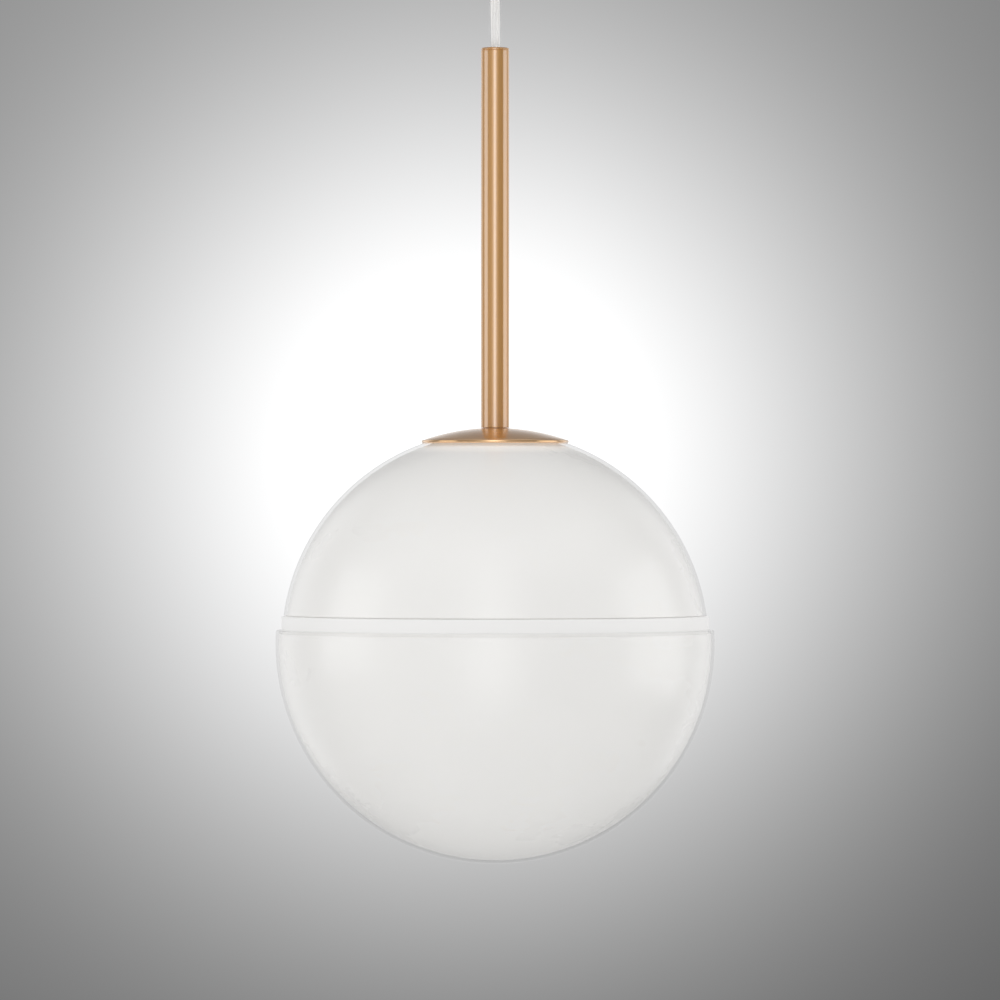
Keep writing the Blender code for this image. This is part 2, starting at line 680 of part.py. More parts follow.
def make_upper_shade():
    seat = rise(upper_radius, SEAT_RADIUS)
    ceiling = seat - GLASS
    profile = [
        (GLASS_HOLE, seat),
        *ball_arc(upper_radius, seat, UPPER_RIM, 9),
        *ball_arc(upper_inside, UPPER_RIM, ceiling, 8),
        (GLASS_HOLE, ceiling),
    ]
    put(turned("upper_shade", profile, WIDE_STEPS), "lamp_pivot", "opal_glass", (0, 0, globe_z))


def make_clamp():
    """Plate and nut on the nipple, which pull the glass up against the cap."""
    profile = tube_profile(PLATE_RADIUS, nipple_hole, PLATE_SHEET)
    put(turned("clamp_plate", profile), "lamp_pivot", "zinc_steel", (0, 0, plate_z))
    nut = hex_nut("clamp_nut", nut_flats, NUT_HEIGHT, nipple_hole)
    put(nut, "lamp_pivot", "brass", (0, 0, clamp_nut_z))


def make_lampholder():
    """Metal cap, ceramic contact base, screw shell and body, in the order in which they are put on."""
    inside = HOLDER_RADIUS - HOLDER_WALL
    profile = [
        (nipple_hole, 0),
        (HOLDER_TOP - HOLDER_TOP_EDGE, 0),
        (HOLDER_TOP, -HOLDER_TOP_EDGE),
        (HOLDER_RADIUS, HOLDER_TOP_SHEET - HOLDER_SHOULDER),
        (HOLDER_RADIUS, -HOLDER_CAP_HEIGHT),
        (inside, -HOLDER_CAP_HEIGHT),
        (inside, HOLDER_TOP_EDGE - HOLDER_SHOULDER),
        (HOLDER_TOP - 0.7 * HOLDER_TOP_EDGE, -HOLDER_TOP_SHEET),
        (nipple_hole, -HOLDER_TOP_SHEET),
    ]
    put(turned("holder_cap", profile), "lamp_pivot", "white_plastic", (0, 0, holder_z))
    tag = turned("earth_tag", tube_profile(TAG_RADIUS, nipple_hole, TAG_SHEET))
    put(tag, "lamp_pivot", "brass", (0, 0, tag_z))
    lock_nut = hex_nut("holder_lock_nut", nut_flats, NUT_HEIGHT, nipple_hole)
    put(lock_nut, "lamp_pivot", "brass", (0, 0, lock_nut_z))

    base = prism("contact_base", inside - GAP, BASE_HEIGHT, SLIM_STEPS, sink=BASE_HEIGHT / 2)
    put(base, "lamp_pivot", "white_ceramic", (0, 0, base_z))
    for label, angle in (("live", 120), ("neutral", 240)):
        x = BASE_HOLE_CIRCLE * math.cos(math.radians(angle))
        y = BASE_HOLE_CIRCLE * math.sin(math.radians(angle))
        drill(base, f"hole_{label}", CORE_RADIUS + SLIDE, 3 * BASE_HEIGHT, (x, y, base_z))

    top = -GAP - CONTACT_SHEET
    low = GAP - LAMP_TIP_DROP
    tip_z = low + CONTACT_TIP_RISE
    outline = [(-0.0085, top), (-0.0050, top), (-0.0015, low), (0.0020, low), (0.0040, tip_z)]
    contact = strip("centre_contact", outline, CONTACT_WIDTH, CONTACT_SHEET)
    put(contact, "lamp_pivot", "spring_steel", (0, 0, holder_body_z + CONTACT_SHEET))

    shell_bore = LAMP_THREAD_RADIUS + SLIDE
    profile = tube_profile(shell_bore + SHELL_SHEET, shell_bore, SHELL_HEIGHT)
    put(turned("screw_shell", profile), "lamp_pivot", "brass", (0, 0, holder_body_z - SHELL_DROP))
    profile = [
        (holder_bore, 0),
        (HOLDER_RADIUS, 0),
        (HOLDER_RADIUS, HOLDER_MOUTH_EDGE - HOLDER_BODY_HEIGHT),
        (HOLDER_RADIUS - HOLDER_MOUTH_EDGE, -HOLDER_BODY_HEIGHT),
        (holder_bore, -HOLDER_BODY_HEIGHT),
    ]
    put(turned("holder_body", profile), "lamp_pivot", "white_plastic", (0, 0, holder_body_z))


def make_holder_cores():
    """Live and neutral go down to the contact base, and earth turns up to the tag."""
    start = stem_flex_foot_z - CORE_START
    for label, material, angle in (("live", "brown_core", 120), ("neutral", "blue_core", 240)):
        x = math.cos(math.radians(angle))
        y = math.sin(math.radians(angle))
        stations = (
            (CORE_CIRCLE, start),
            (CORE_CIRCLE, start - CORE_STRAIGHT),
            (0.70 * BASE_HOLE_CIRCLE, start - 0.0045),
            (BASE_HOLE_CIRCLE, base_z + 0.0010),
            (BASE_HOLE_CIRCLE, base_z - 0.6 * BASE_HEIGHT),
        )
        route = smooth_route([(out * x, out * y, z) for out, z in stations])
        core = wire(f"holder_{label}_core", route, CORE_RADIUS)
        put(core, "lamp_pivot", material, (0, 0, 0))
    past_nut = TAG_RADIUS - CORE_RADIUS
    stations = (
        (CORE_CIRCLE, start),
        (CORE_CIRCLE, start - CORE_STRAIGHT),
        (0.65 * past_nut, start - 0.0034),
        (past_nut, start + 0.0010),
        (past_nut, tag_z - TAG_SHEET - GAP),
    )
    route = smooth_route([(out, 0, z) for out, z in stations])
    put(wire("holder_earth_core", route, CORE_RADIUS), "lamp_pivot", "green_core", (0, 0, 0))


def make_collar():
    """Clear collar bonded inside the upper glass. Its band shows at the seam, its skirt centres the bowl."""
    flange_top = UPPER_RIM - GAP
    flange_foot = LOWER_RIM + GAP
    tongue = rise(upper_inside, COLLAR_TOP) - BOND
    band = rise(upper_radius, UPPER_RIM) + COLLAR_BAND_PROUD
    skirt = rise(bowl_inside, LOWER_RIM) - SLIDE
    foot = LOWER_RIM - COLLAR_SKIRT
    profile = [
        (tongue - COLLAR_WALL, COLLAR_TOP),
        (tongue, COLLAR_TOP),
        (tongue, flange_top),
        (band, flange_top),
        (band, flange_foot),
        (skirt, flange_foot),
        (skirt, foot),
        (skirt - COLLAR_WALL, foot),
        (skirt - COLLAR_WALL, flange_foot),
        (tongue - COLLAR_WALL, flange_foot + COLLAR_WALL),
    ]
    collar = turned("seam_collar", profile, WIDE_STEPS)
    put(collar, "lamp_pivot", "clear_plastic", (0, 0, globe_z))

    half_side = math.pi / WIDE_STEPS
    inner_face = (skirt - COLLAR_WALL) * math.cos(half_side) - GAP
    outer_face = skirt * math.cos(half_side)
    rivet_z = foot + RIVET_RISE
    outline = [
        (inner_face, flange_foot - CLIP_HEAD),
        (inner_face, foot - 0.1 * CLIP_TAIL),
        (inner_face + CLIP_BULGE, foot - 0.45 * CLIP_TAIL),
        (inner_face - CLIP_TUCK, foot - CLIP_TAIL),
    ]
    deep = 4 * (COLLAR_WALL + CLIP_SHEET)
    for number in range(1, CLIP_COUNT + 1):
        angle = half_side + 2 * math.pi * (number - 1) / CLIP_COUNT
        out = Vector((math.cos(angle), math.sin(angle), 0))
        turn = (0, math.pi / 2, angle)
        at = out * outer_face + Vector((0, 0, globe_z + rivet_z))
        drill(collar, f"rivet_hole_{number}", RIVET_RADIUS + GAP, deep, at, turn)
        clip = strip(f"bowl_clip_{number}", outline, CLIP_WIDTH, CLIP_SHEET)
        put(clip, "lamp_pivot", "spring_steel", (0, 0, globe_z), (0, 0, angle))
        drill(clip, "hole", RIVET_RADIUS + GAP, deep, at, turn)
        head = inner_face - CLIP_SHEET - GAP - outer_face
        profile = [
            (0, -GAP),
            (RIVET_RADIUS, -GAP),
            (RIVET_RADIUS, head),
            (RIVET_HEAD, head),
            (0.7 * RIVET_HEAD, head - RIVET_HEAD_HEIGHT),
            (0, head - RIVET_HEAD_HEIGHT),
        ]
        rivet = turned(f"clip_rivet_{number}", profile, TINY_STEPS)
        put(rivet, "lamp_pivot", "spring_steel", at, turn)


def make_bowl():
    """Lower glass: an open bowl with a rounded rim, a little wider than the upper glass."""
    edge = 0.3 * GLASS
    profile = [
        *ball_arc(bowl_inside, -bowl_inside, LOWER_RIM - edge, 11),
        (rise(bowl_inside, LOWER_RIM) + edge, LOWER_RIM),
        (rise(BOWL_RADIUS, LOWER_RIM) - edge, LOWER_RIM),
        *ball_arc(BOWL_RADIUS, LOWER_RIM - edge, -BOWL_RADIUS, 12),
    ]
    profile[0] = (0, profile[0][1])
    profile[-1] = (0, profile[-1][1])
    put(turned("lower_shade", profile, WIDE_STEPS), "bowl_slide", "opal_glass", (0, 0, globe_z))


def make_lamp():
    """Screw-cap lamp: contact, insulator, screw cap, body, light board and opal ball."""
    profile = [
        (0, 0),
        (0.5 * LAMP_TIP_RADIUS, -0.2 * LAMP_TIP_HEIGHT),
        (LAMP_TIP_RADIUS, -LAMP_TIP_HEIGHT),
        (0, -LAMP_TIP_HEIGHT),
    ]
    put(turned("bulb_tip", profile), "bulb_turn", "zinc_steel", (0, 0, lamp_tip_z))
    profile = [
        (0, 0),
        (LAMP_TIP_RADIUS + LAMP_CAP_EDGE, 0),
        (LAMP_THREAD_RADIUS - LAMP_CONE_FOOT, -LAMP_CONE_HEIGHT),
        (0, -LAMP_CONE_HEIGHT),
    ]
    put(turned("bulb_insulator", profile), "bulb_turn", "black_glass", (0, 0, lamp_cone_z))
    profile = [
        (0, 0),
        (LAMP_THREAD_RADIUS - LAMP_CAP_EDGE, 0),
        (LAMP_THREAD_RADIUS, -LAMP_CAP_EDGE),
        (LAMP_THREAD_RADIUS, -LAMP_CAP_HEIGHT),
        (0, -LAMP_CAP_HEIGHT),
    ]
    put(turned("bulb_screw_cap", profile), "bulb_turn", "zinc_steel", (0, 0, lamp_cap_z))
    neck = LAMP_THREAD_RADIUS + LAMP_NECK
    profile = [
        (0, 0),
        (neck, 0),
        (neck + 0.12 * (LAMP_BALL_MOUTH - neck), -0.3 * LAMP_BODY_HEIGHT),
        (neck + 0.55 * (LAMP_BALL_MOUTH - neck), -0.7 * LAMP_BODY_HEIGHT),
        (LAMP_BALL_MOUTH, -LAMP_BODY_HEIGHT),
        (0, -LAMP_BODY_HEIGHT),
    ]
    put(turned("bulb_housing", profile), "bulb_turn", "white_plastic", (0, 0, lamp_body_z))
    board = prism("led_board", LED_BOARD_RADIUS, LED_BOARD_SHEET, SLIM_STEPS, sink=LED_BOARD_SHEET / 2)
    put(board, "bulb_turn", "board_white", (0, 0, lamp_body_z - LAMP_BODY_HEIGHT - GAP))
    inside = LAMP_BALL_RADIUS - LAMP_BALL_WALL
    rim = rise(LAMP_BALL_RADIUS, LAMP_BALL_MOUTH)
    inner = ball_arc(inside, -inside, rim, 8)
    outer = ball_arc(LAMP_BALL_RADIUS, rim, -LAMP_BALL_RADIUS, 9)
    profile = [*inner, *outer]
    profile[0] = (0, profile[0][1])
    profile[-1] = (0, profile[-1][1])
    put(turned("bulb_envelope", profile), "bulb_turn", "opal_glass", (0, 0, lamp_ball_z))


def main():
    clear_scene()
    add_pivot("ceiling", 0)
    add_pivot("flex_pivot", grip_mouth_z, "ceiling")
    add_pivot("bush_pivot", stem_top_z, "flex_pivot")
    add_pivot("lamp_pivot", stem_top_z, "bush_pivot")
    add_pivot("bowl_slide", globe_z, "lamp_pivot")
    add_pivot("bulb_turn", lamp_tip_z, "lamp_pivot")
    make_bracket()
    make_cup()
    make_cord_grip()
    make_terminal_block()
    make_ceiling_wiring()
    make_supply_cord()
    make_stem()
    make_cap()
    make_gaskets()
    make_upper_shade()
    make_clamp()
    make_lampholder()
    make_holder_cores()
    make_collar()
    make_bowl()
    make_lamp()


main()
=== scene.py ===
"""Looks of the pendant ceiling light: its camera, light, flex, finishes and finely made pieces."""

import json
import math

import bmesh
import bpy
from mathutils import Matrix, Vector


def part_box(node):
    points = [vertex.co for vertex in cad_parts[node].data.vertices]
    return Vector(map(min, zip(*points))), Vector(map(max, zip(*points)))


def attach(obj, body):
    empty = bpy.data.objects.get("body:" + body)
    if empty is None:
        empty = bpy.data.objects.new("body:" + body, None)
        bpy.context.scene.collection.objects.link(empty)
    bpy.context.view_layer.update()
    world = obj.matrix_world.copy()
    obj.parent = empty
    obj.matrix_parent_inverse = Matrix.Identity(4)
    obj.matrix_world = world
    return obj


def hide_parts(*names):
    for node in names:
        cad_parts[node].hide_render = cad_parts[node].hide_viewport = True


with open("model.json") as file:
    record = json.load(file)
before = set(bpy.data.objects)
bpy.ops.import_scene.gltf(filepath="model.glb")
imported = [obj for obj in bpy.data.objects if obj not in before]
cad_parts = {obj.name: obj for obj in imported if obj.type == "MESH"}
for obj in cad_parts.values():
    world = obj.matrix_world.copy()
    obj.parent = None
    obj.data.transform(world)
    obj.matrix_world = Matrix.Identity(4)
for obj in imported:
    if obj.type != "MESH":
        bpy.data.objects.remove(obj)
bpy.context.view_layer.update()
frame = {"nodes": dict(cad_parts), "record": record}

MM = 0.001
GAP = 0.3 * MM
HAIRLINE = 0.08 * MM  # seen above and below the seam's band


def top(node):
    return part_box(node)[1].z


def foot(node):
    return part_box(node)[0].z


# Camera: a long lens, level, a little above the middle of the globe

VIEW_HEIGHT = 207 * MM  # above the bottom of the bowl
VIEW_ASIDE = 2.8 * MM
VIEW_DISTANCE = 4.0
VIEW_WIDTH = 569.5 * MM  # of what the camera sees at the light
SENSOR = 36.0
VIEW_LENS = SENSOR * VIEW_DISTANCE / VIEW_WIDTH

camera = bpy.data.objects.new("camera", bpy.data.cameras.new("camera"))
bpy.context.scene.collection.objects.link(camera)
camera.location = (VIEW_ASIDE, -VIEW_DISTANCE, foot("lower_shade") + VIEW_HEIGHT)
camera.rotation_euler = (math.pi / 2, 0, 0)
camera.data.sensor_width = SENSOR
camera.data.lens = VIEW_LENS
camera.data.clip_end = 40
bpy.context.scene.camera = camera


# Shapes


def keep(name, shape, sharp=40):
    """Puts a finished shape in the scene: doubles merged, faces outwards, round faces smooth."""
    bmesh.ops.remove_doubles(shape, verts=shape.verts, dist=0.002 * MM)
    bmesh.ops.recalc_face_normals(shape, faces=shape.faces)
    mesh = bpy.data.meshes.new(name)
    shape.to_mesh(mesh)
    shape.free()
    mesh.shade_smooth()
    mesh.set_sharp_from_angle(angle=math.radians(sharp))
    obj = bpy.data.objects.new(name, mesh)
    bpy.context.scene.collection.objects.link(obj)
    return obj


def arc(centre, radius, start, stop, count):
    """Points (radius, height) on a round stretch, between two angles in degrees."""
    turns = [math.radians(start + (stop - start) * i / (count - 1)) for i in range(count)]
    return [(centre[0] + radius * math.cos(t), centre[1] + radius * math.sin(t)) for t in turns]


def ball(radius, start, stop, count, centre=0.0):
    """Points on a ball's outline between two heights from its centre."""
    ends = [math.degrees(math.asin(height / radius)) for height in (start, stop)]
    return arc((0, centre), radius, *ends, count)


def rise(radius, across):
    """Height of a ball's surface above its centre, at a distance from its axis."""
    return math.sqrt(radius**2 - across**2)


def wire_outline(shape, outline, ring):
    """Lays an outline of (across, height, fillet) points in the XZ plane and rounds its corners."""
    points = [shape.verts.new((p[0], 0, p[1])) for p in outline]
    ends = points[1:] + (points[:1] if ring else [])
    for pair in zip(points, ends):
        shape.edges.new(pair)
    fillets = [p[2] if len(p) > 2 else 0 for p in outline]
    for fillet in sorted({f for f in fillets if f > 0}):
        corners = [v for v, f in zip(points, fillets) if f == fillet]
        bmesh.ops.bevel(
            shape,
            geom=corners,
            offset=fillet,
            offset_type="OFFSET",
            segments=10 if fillet > 2 * MM else 4,
            profile=0.5,
            affect="VERTICES",
            material=-1,
        )


def turned(name, outline, height=0.0, steps=96, sharp=40):
    """Spins an outline round the light's axis. One that starts away from the axis is a closed ring."""
    shape = bmesh.new()
    wire_outline(shape, outline, outline[0][0] > 0)
    bmesh.ops.spin(
        shape,
        geom=shape.verts[:] + shape.edges[:],
        axis=(0, 0, 1),
        cent=(0, 0, 0),
        angle=math.tau,
        steps=steps,
        use_merge=True,
    )
    bmesh.ops.translate(shape, verts=shape.verts, vec=(0, 0, height))
    return keep(name, shape, sharp)


def bent_sheet(name, outline, width, sheet):
    """Bent sheet metal: an outline in X and Z, its width along Y, thickened on the outline's right."""
    shape = bmesh.new()
    wire_outline(shape, outline, False)
    bmesh.ops.translate(shape, verts=shape.verts, vec=(0, -width / 2, 0))
    swept = bmesh.ops.extrude_edge_only(shape, edges=shape.edges[:])
    far_side = [part for part in swept["geom"] if isinstance(part, bmesh.types.BMVert)]
    bmesh.ops.translate(shape, verts=far_side, vec=(0, width, 0))
    bmesh.ops.recalc_face_normals(shape, faces=shape.faces)
    bmesh.ops.solidify(shape, geom=shape.faces[:], thickness=sheet)
    return keep(name, shape)


def rounded_box(name, size, centre, edge):
    """A block with all its edges rounded."""
    shape = bmesh.new()
    bmesh.ops.create_cube(shape, size=1.0)
    bmesh.ops.scale(shape, verts=shape.verts, vec=size)
    bmesh.ops.bevel(
        shape,
        geom=shape.edges[:],
        offset=edge,
        offset_type="OFFSET",
        segments=3,
        profile=0.5,
        affect="EDGES",
        material=-1,
    )
    bmesh.ops.translate(shape, verts=shape.verts, vec=centre)
    return keep(name, shape)


def rod(radius, length, centre, turn=Matrix.Identity(3), sides=48):
    """A round cutter."""
    shape = bmesh.new()
    bmesh.ops.create_cone(
        shape, cap_ends=True, segments=sides, radius1=radius, radius2=radius, depth=length
    )
    return cutter(shape, centre, turn)


def slab(size, centre, turn=Matrix.Identity(3)):
    """A square cutter."""
    shape = bmesh.new()
    bmesh.ops.create_cube(shape, size=1.0)
    bmesh.ops.scale(shape, verts=shape.verts, vec=size)
    return cutter(shape, centre, turn)


def cutter(shape, centre, turn):
    """Puts a cutter's shape in its place, for carve() to use."""
    bmesh.ops.transform(shape, matrix=Matrix.Translation(centre) @ turn.to_4x4(), verts=shape.verts)
    mesh = bpy.data.meshes.new("cutter")
    shape.to_mesh(mesh)
    shape.free()
    obj = bpy.data.objects.new("cutter", mesh)
    bpy.context.scene.collection.objects.link(obj)
    return obj


def carve(obj, *tools):
    """Takes the cutters' shapes out of a piece and removes the cutters."""
    for tool in tools:
        cut = obj.modifiers.new("cut", "BOOLEAN")
        cut.operation = "DIFFERENCE"
        cut.solver = "EXACT"
        cut.object = tool
    seen = obj.evaluated_get(bpy.context.evaluated_depsgraph_get())
    carved = bpy.data.meshes.new_from_object(seen)
    obj.modifiers.clear()
    obj.data = carved
    carved.shade_smooth()
    carved.set_sharp_from_angle(angle=math.radians(35))
    for tool in tools:
        bpy.data.objects.remove(tool, do_unlink=True)


def thread(obj, low, high, pitch, depth, inside=None):
    """Rolls a round thread into a turned piece between two heights, on the wall outside a radius."""
    for vert in obj.data.vertices:
        x, y, z = vert.co
        out = math.hypot(x, y)
        if not low < z < high or (inside and out < inside):
            continue
        fade = min(1.0, (z - low) / pitch, (high - z) / pitch)
        wave = 0.5 - 0.5 * math.cos(math.tau * z / pitch + math.atan2(y, x))
        scale = 1 - depth * fade * wave / out
        vert.co.x = x * scale
        vert.co.y = y * scale
    obj.data.update()


def wall_rows(radius, start, stop, pitch):
    """Close points down a straight wall, fine enough to take a thread."""
    count = max(2, round(abs(start - stop) / pitch * 12))
    return [(radius, start + (stop - start) * i / count) for i in range(count + 1)]


# The globe's sizes. Heights are above the middle of its lower glass

BOWL_RADIUS = 125 * MM
UPPER_RADIUS = 121.5 * MM
GLASS = 3 * MM
CASING = 1.9 * MM
OPAL_BEHIND = 0.1 * MM  # from the casing's inner side to the opal
UPPER_RIM = 16 * MM
OPAL_ABOVE_RIM = 0.5 * MM  # the upper glass's opal starts this much above its rim
LOWER_RIM = 8 * MM
CLEAR_RIM = 2.0 * MM  # height of the bowl's rim that has no opal in it
COLLAR_SKIRT = 8 * MM
SEAT = 26 * MM  # radius of the flat top that the cap's gasket lies on
GLASS_HOLE = 7 * MM
OPAL_MIDDLE = 0.83 * GLASS  # from the glass's surface to the middle of its opal
UNDER_CAP_PAINTED_LIGHT = (42 * MM, 50 * MM)  # painted light over the cap's shade on the glass: full inside one radius, none past the other
globe_z = foot("lower_shade") + BOWL_RADIUS


# Finishes


class Link:
    """A node's output. Arithmetic on it adds Math nodes to its finish."""

    def __init__(self, finish, socket):
        self.finish = finish
        self.socket = socket

    def math(self, operation, *values):
        return self.finish.math(operation, *values)

    def __add__(self, other):
        return self.math("ADD", self, other)

    def __radd__(self, other):
        return self.math("ADD", other, self)

    def __sub__(self, other):
        return self.math("SUBTRACT", self, other)

    def __rsub__(self, other):
        return self.math("SUBTRACT", other, self)

    def __mul__(self, other):
        return self.math("MULTIPLY", self, other)

    def __rmul__(self, other):
        return self.math("MULTIPLY", other, self)

    def __truediv__(self, other):
        return self.math("DIVIDE", self, other)

    def __pow__(self, other):
        return self.math("POWER", self, other)

    def exp(self):
        return self.math("EXPONENT", self)


class Finish:
    """A material, or the world, made of nodes."""

    def __init__(self, owner):
        owner.use_nodes = True
        self.owner = owner
        self.tree = owner.node_tree
        self.tree.nodes.clear()

    def node(self, kind, settings=None, inputs=None, output=0):
        """Adds a node: its settings first, then the values or links of its sockets."""
        made = self.tree.nodes.new("ShaderNode" + kind)
        for name, value in (settings or {}).items():
            if name == "stops":
                self.set_stops(made.color_ramp, value)
            else:
                setattr(made, name, value)
        for name, value in (inputs or {}).items():
            if isinstance(value, Link):
                self.tree.links.new(value.socket, made.inputs[name])
            else:
                made.inputs[name].default_value = value
        return Link(self, made.outputs[output])

    def math(self, operation, *values):
        return self.node("Math", {"operation": operation}, dict(enumerate(values)))

    def set_stops(self, ramp, stops):
        while len(ramp.elements) < len(stops):
            ramp.elements.new(0.5)
        for element, (position, shade) in zip(ramp.elements, stops):
            element.position = position
            element.color = (shade, shade, shade, 1)

    def ramp(self, value, *stops):
        return self.node("ValToRGB", {"stops": stops}, {"Fac": value})

    def place(self):
        return self.node("TexCoord", output="Object")

    def stretched(self, scale):
        """The piece's own coordinates, scaled by a number for each axis."""
        return self.node("Mapping", None, {"Vector": self.place(), "Scale": scale})

    def noise(self, scale, detail=3.0, roughness=0.5):
        """Noise with so many grains to the metre along each axis."""
        inputs = {
            "Vector": self.stretched(scale),
            "Scale": 1.0,
            "Detail": detail,
            "Roughness": roughness,
        }
        return self.node("TexNoise", None, inputs)

    def axes(self, vector=None):
        """The three coordinates of a point."""
        split = self.node("SeparateXYZ", None, {0: vector or self.place()})
        return [Link(self, socket) for socket in split.socket.node.outputs]

    def tint(self, amount, first, second):
        """A colour between two, by an amount from 0 to 1."""
        inputs = {0: amount, 6: (*first, 1), 7: (*second, 1)}
        return self.node("Mix", {"data_type": "RGBA"}, inputs, output=2)

    def bump(self, height, distance, strength=1.0):
        inputs = {"Height": height, "Distance": distance, "Strength": strength}
        return self.node("Bump", None, inputs)

    def surface(self, shader, kind="Material"):
        out = self.tree.nodes.new("ShaderNodeOutput" + kind)
        self.tree.links.new(shader.socket, out.inputs["Surface"])
        return self.owner


def finish(name):
    return Finish(bpy.data.materials.new(name))


def shades(colour, less, more):
    """A darker and a lighter tone of a colour."""
    return [tuple(min(1.0, part * factor) for part in colour) for factor in (less, more)]


BURNISHING = 0.2


def metal(name, colour, roughness, grain, grain_depth=0.004 * MM, turned_lines=False, burnished=None):
    """Metal with a fine grain, drawn along Z or turned in rings, and burnished past a radius."""
    made = finish(name)
    smoother = 0.0
    if turned_lines:
        x, y, z = made.axes()
        across = (x * x + y * y) ** 0.5
        rings = made.node("CombineXYZ", None, {0: across, 1: z})
        inputs = {"Vector": rings, "Scale": grain, "Detail": 4.0, "Roughness": 0.65}
        lines = made.node("TexNoise", None, inputs)
        if burnished:
            smoother = BURNISHING * made.math("GREATER_THAN", across, burnished)
    else:
        lines = made.noise((grain, grain, 0.02 * grain), 4.0, 0.65)
    cloud = made.noise((45, 45, 45), 3.0)
    speck = made.noise((1400, 1400, 1400), 2.0)
    tone = 0.55 * cloud + 0.3 * lines + 0.15 * speck
    inputs = {
        "Base Color": made.tint(tone, *shades(colour, 0.94, 1.06)),
        "Metallic": 1.0,
        "Roughness": roughness - 0.05 + 0.06 * lines + 0.05 * cloud - smoother,
        "Normal": made.bump(0.7 * lines + 0.3 * speck, grain_depth),
    }
    return made.surface(made.node("BsdfPrincipled", None, inputs))


GOLD = (0.74, 0.385, 0.10)
DRAWN_GOLD = (0.72, 0.37, 0.075)
GOLD_GRAIN = 2600
GOLD_GRAIN_DEPTH = 0.0022 * MM
LACQUER_INDEX = 2.7  # bends light more than a real lacquer, for its pale streaks over deep gold


def satin(name, colour, roughness, turned_lines, burnished=None, lacquer=0.18):
    """Gold plating under a thin clear lacquer of its own roughness."""
    owner = metal(name, colour, roughness, GOLD_GRAIN, GOLD_GRAIN_DEPTH, turned_lines, burnished)
    shader = next(n for n in owner.node_tree.nodes if n.type == "BSDF_PRINCIPLED")
    shader.inputs["Coat Weight"].default_value = 1.0
    shader.inputs["Coat Roughness"].default_value = lacquer
    shader.inputs["Coat IOR"].default_value = LACQUER_INDEX
    return owner


def moulded(name, colour, roughness, grain=2200, depth=0.01 * MM, coat=0.0, painted_glow=0.0):
    """Plastic, rubber or glazed ware with a fine moulded grain and faint mottling, and a painted glow
    when one is given.
    """
    made = finish(name)
    cloud = made.noise((70, 70, 70), 4.0)
    fine = made.noise((grain, grain, grain), 3.0)
    inputs = {
        "Base Color": made.tint(0.7 * cloud + 0.3 * fine, *shades(colour, 0.955, 1.04)),
        "Roughness": roughness - 0.05 + 0.1 * fine,
        "Normal": made.bump(fine, depth),
        "Coat Weight": coat,
        "Coat Roughness": 0.06,
        # Painted glow: an even white emission, though the piece is no lamp
        "Emission Color": (1.0, 1.0, 1.0, 1),
        "Emission Strength": painted_glow,
    }
    return made.surface(made.node("BsdfPrincipled", None, inputs))


OPAL = (0.900, 0.894, 0.884)
# Painted glow: emission on the opal standing in for light through the glass, and its warm tint
OPAL_PAINTED_GLOW = 0.215
PAINTED_GLOW_TINT = (1.0, 0.993, 0.98)
RAMP_REACH = 100 * MM  # the distance that a ramp's own 0 to 1 stands for


def opal(name, colour, painted_glow, skin=0.0, roughness=0.28):
    """White flashed glass, faintly cloudy. Past its skin's radius it has a faint painted glow, an
    emission standing in for light through the glass, stronger near the cap.
    """
    made = finish(name)
    cloud = made.noise((16, 16, 26), 4.0, 0.55)
    cells = {"Vector": made.place(), "Scale": 180.0}
    seeds = made.ramp(made.node("TexVoronoi", None, cells), (0.0, 1.0), (0.09, 0.0))
    wave = made.noise((22, 22, 30), 2.0)
    tone = 0.85 * cloud + 0.15 * seeds
    x, y, z = made.axes()
    level = z - globe_z
    across = x * x + y * y
    outer = made.math("GREATER_THAN", (across + level * level) ** 0.5, skin)
    full, gone = (reach / RAMP_REACH for reach in UNDER_CAP_PAINTED_LIGHT)
    # Painted light: more glow on the glass round the cap, over the shade that the cap casts
    painted_light_under_cap = made.ramp(across**0.5 / RAMP_REACH, (full, 1.0), (gone, 0.0))
    painted_light_under_cap = painted_light_under_cap * made.math("GREATER_THAN", level, 0.0)
    painted_glow_level = painted_glow * outer * (1 + 0.8 * painted_light_under_cap)
    red, green, blue = PAINTED_GLOW_TINT
    glow = made.node("CombineXYZ", None, {0: red * painted_glow_level, 1: green * painted_glow_level, 2: blue * painted_glow_level})
    inputs = {
        "Base Color": made.tint(tone, *shades(colour, 0.985, 1.02)),
        "Roughness": roughness - 0.04 + 0.08 * cloud,
        "Normal": made.bump(wave, 0.03 * MM),
        "Specular IOR Level": 0.25,
        "Emission Color": glow,
        "Emission Strength": 1.0,
    }
    return made.surface(made.node("BsdfPrincipled", None, inputs))


def casing(name, roughness, tone):
    """The clear glass over the opal: what it doesn't mirror, it lets through."""
    made = finish(name)
    wave = made.noise((20, 20, 28), 2.0)
    bump = made.bump(wave, 0.02 * MM)
    faces_in = made.node("NewGeometry", output="Backfacing")
    gloss = made.node("Fresnel", None, {"IOR": 1.5, "Normal": bump}) * (1 - faces_in)
    clear = made.node("BsdfTransparent", None, {"Color": (*tone, 1)})
    mirror = made.node("BsdfAnisotropic", None, {"Roughness": roughness, "Normal": bump})
    return made.surface(made.node("MixShader", None, {0: gloss, 1: clear, 2: mirror}))


def clear(name, colour, roughness, ior):
    """A clear plastic with soft cloudiness in its polish."""
    made = finish(name)
    cloud = made.noise((90, 90, 90), 3.0)
    inputs = {
        "Base Color": made.tint(cloud, *shades(colour, 0.97, 1.02)),
        "Roughness": roughness + 0.06 * cloud,
        "IOR": ior,
        "Transmission Weight": 1.0,
        "Normal": made.bump(cloud, 0.05 * MM),
    }
    return made.surface(made.node("BsdfPrincipled", None, inputs))


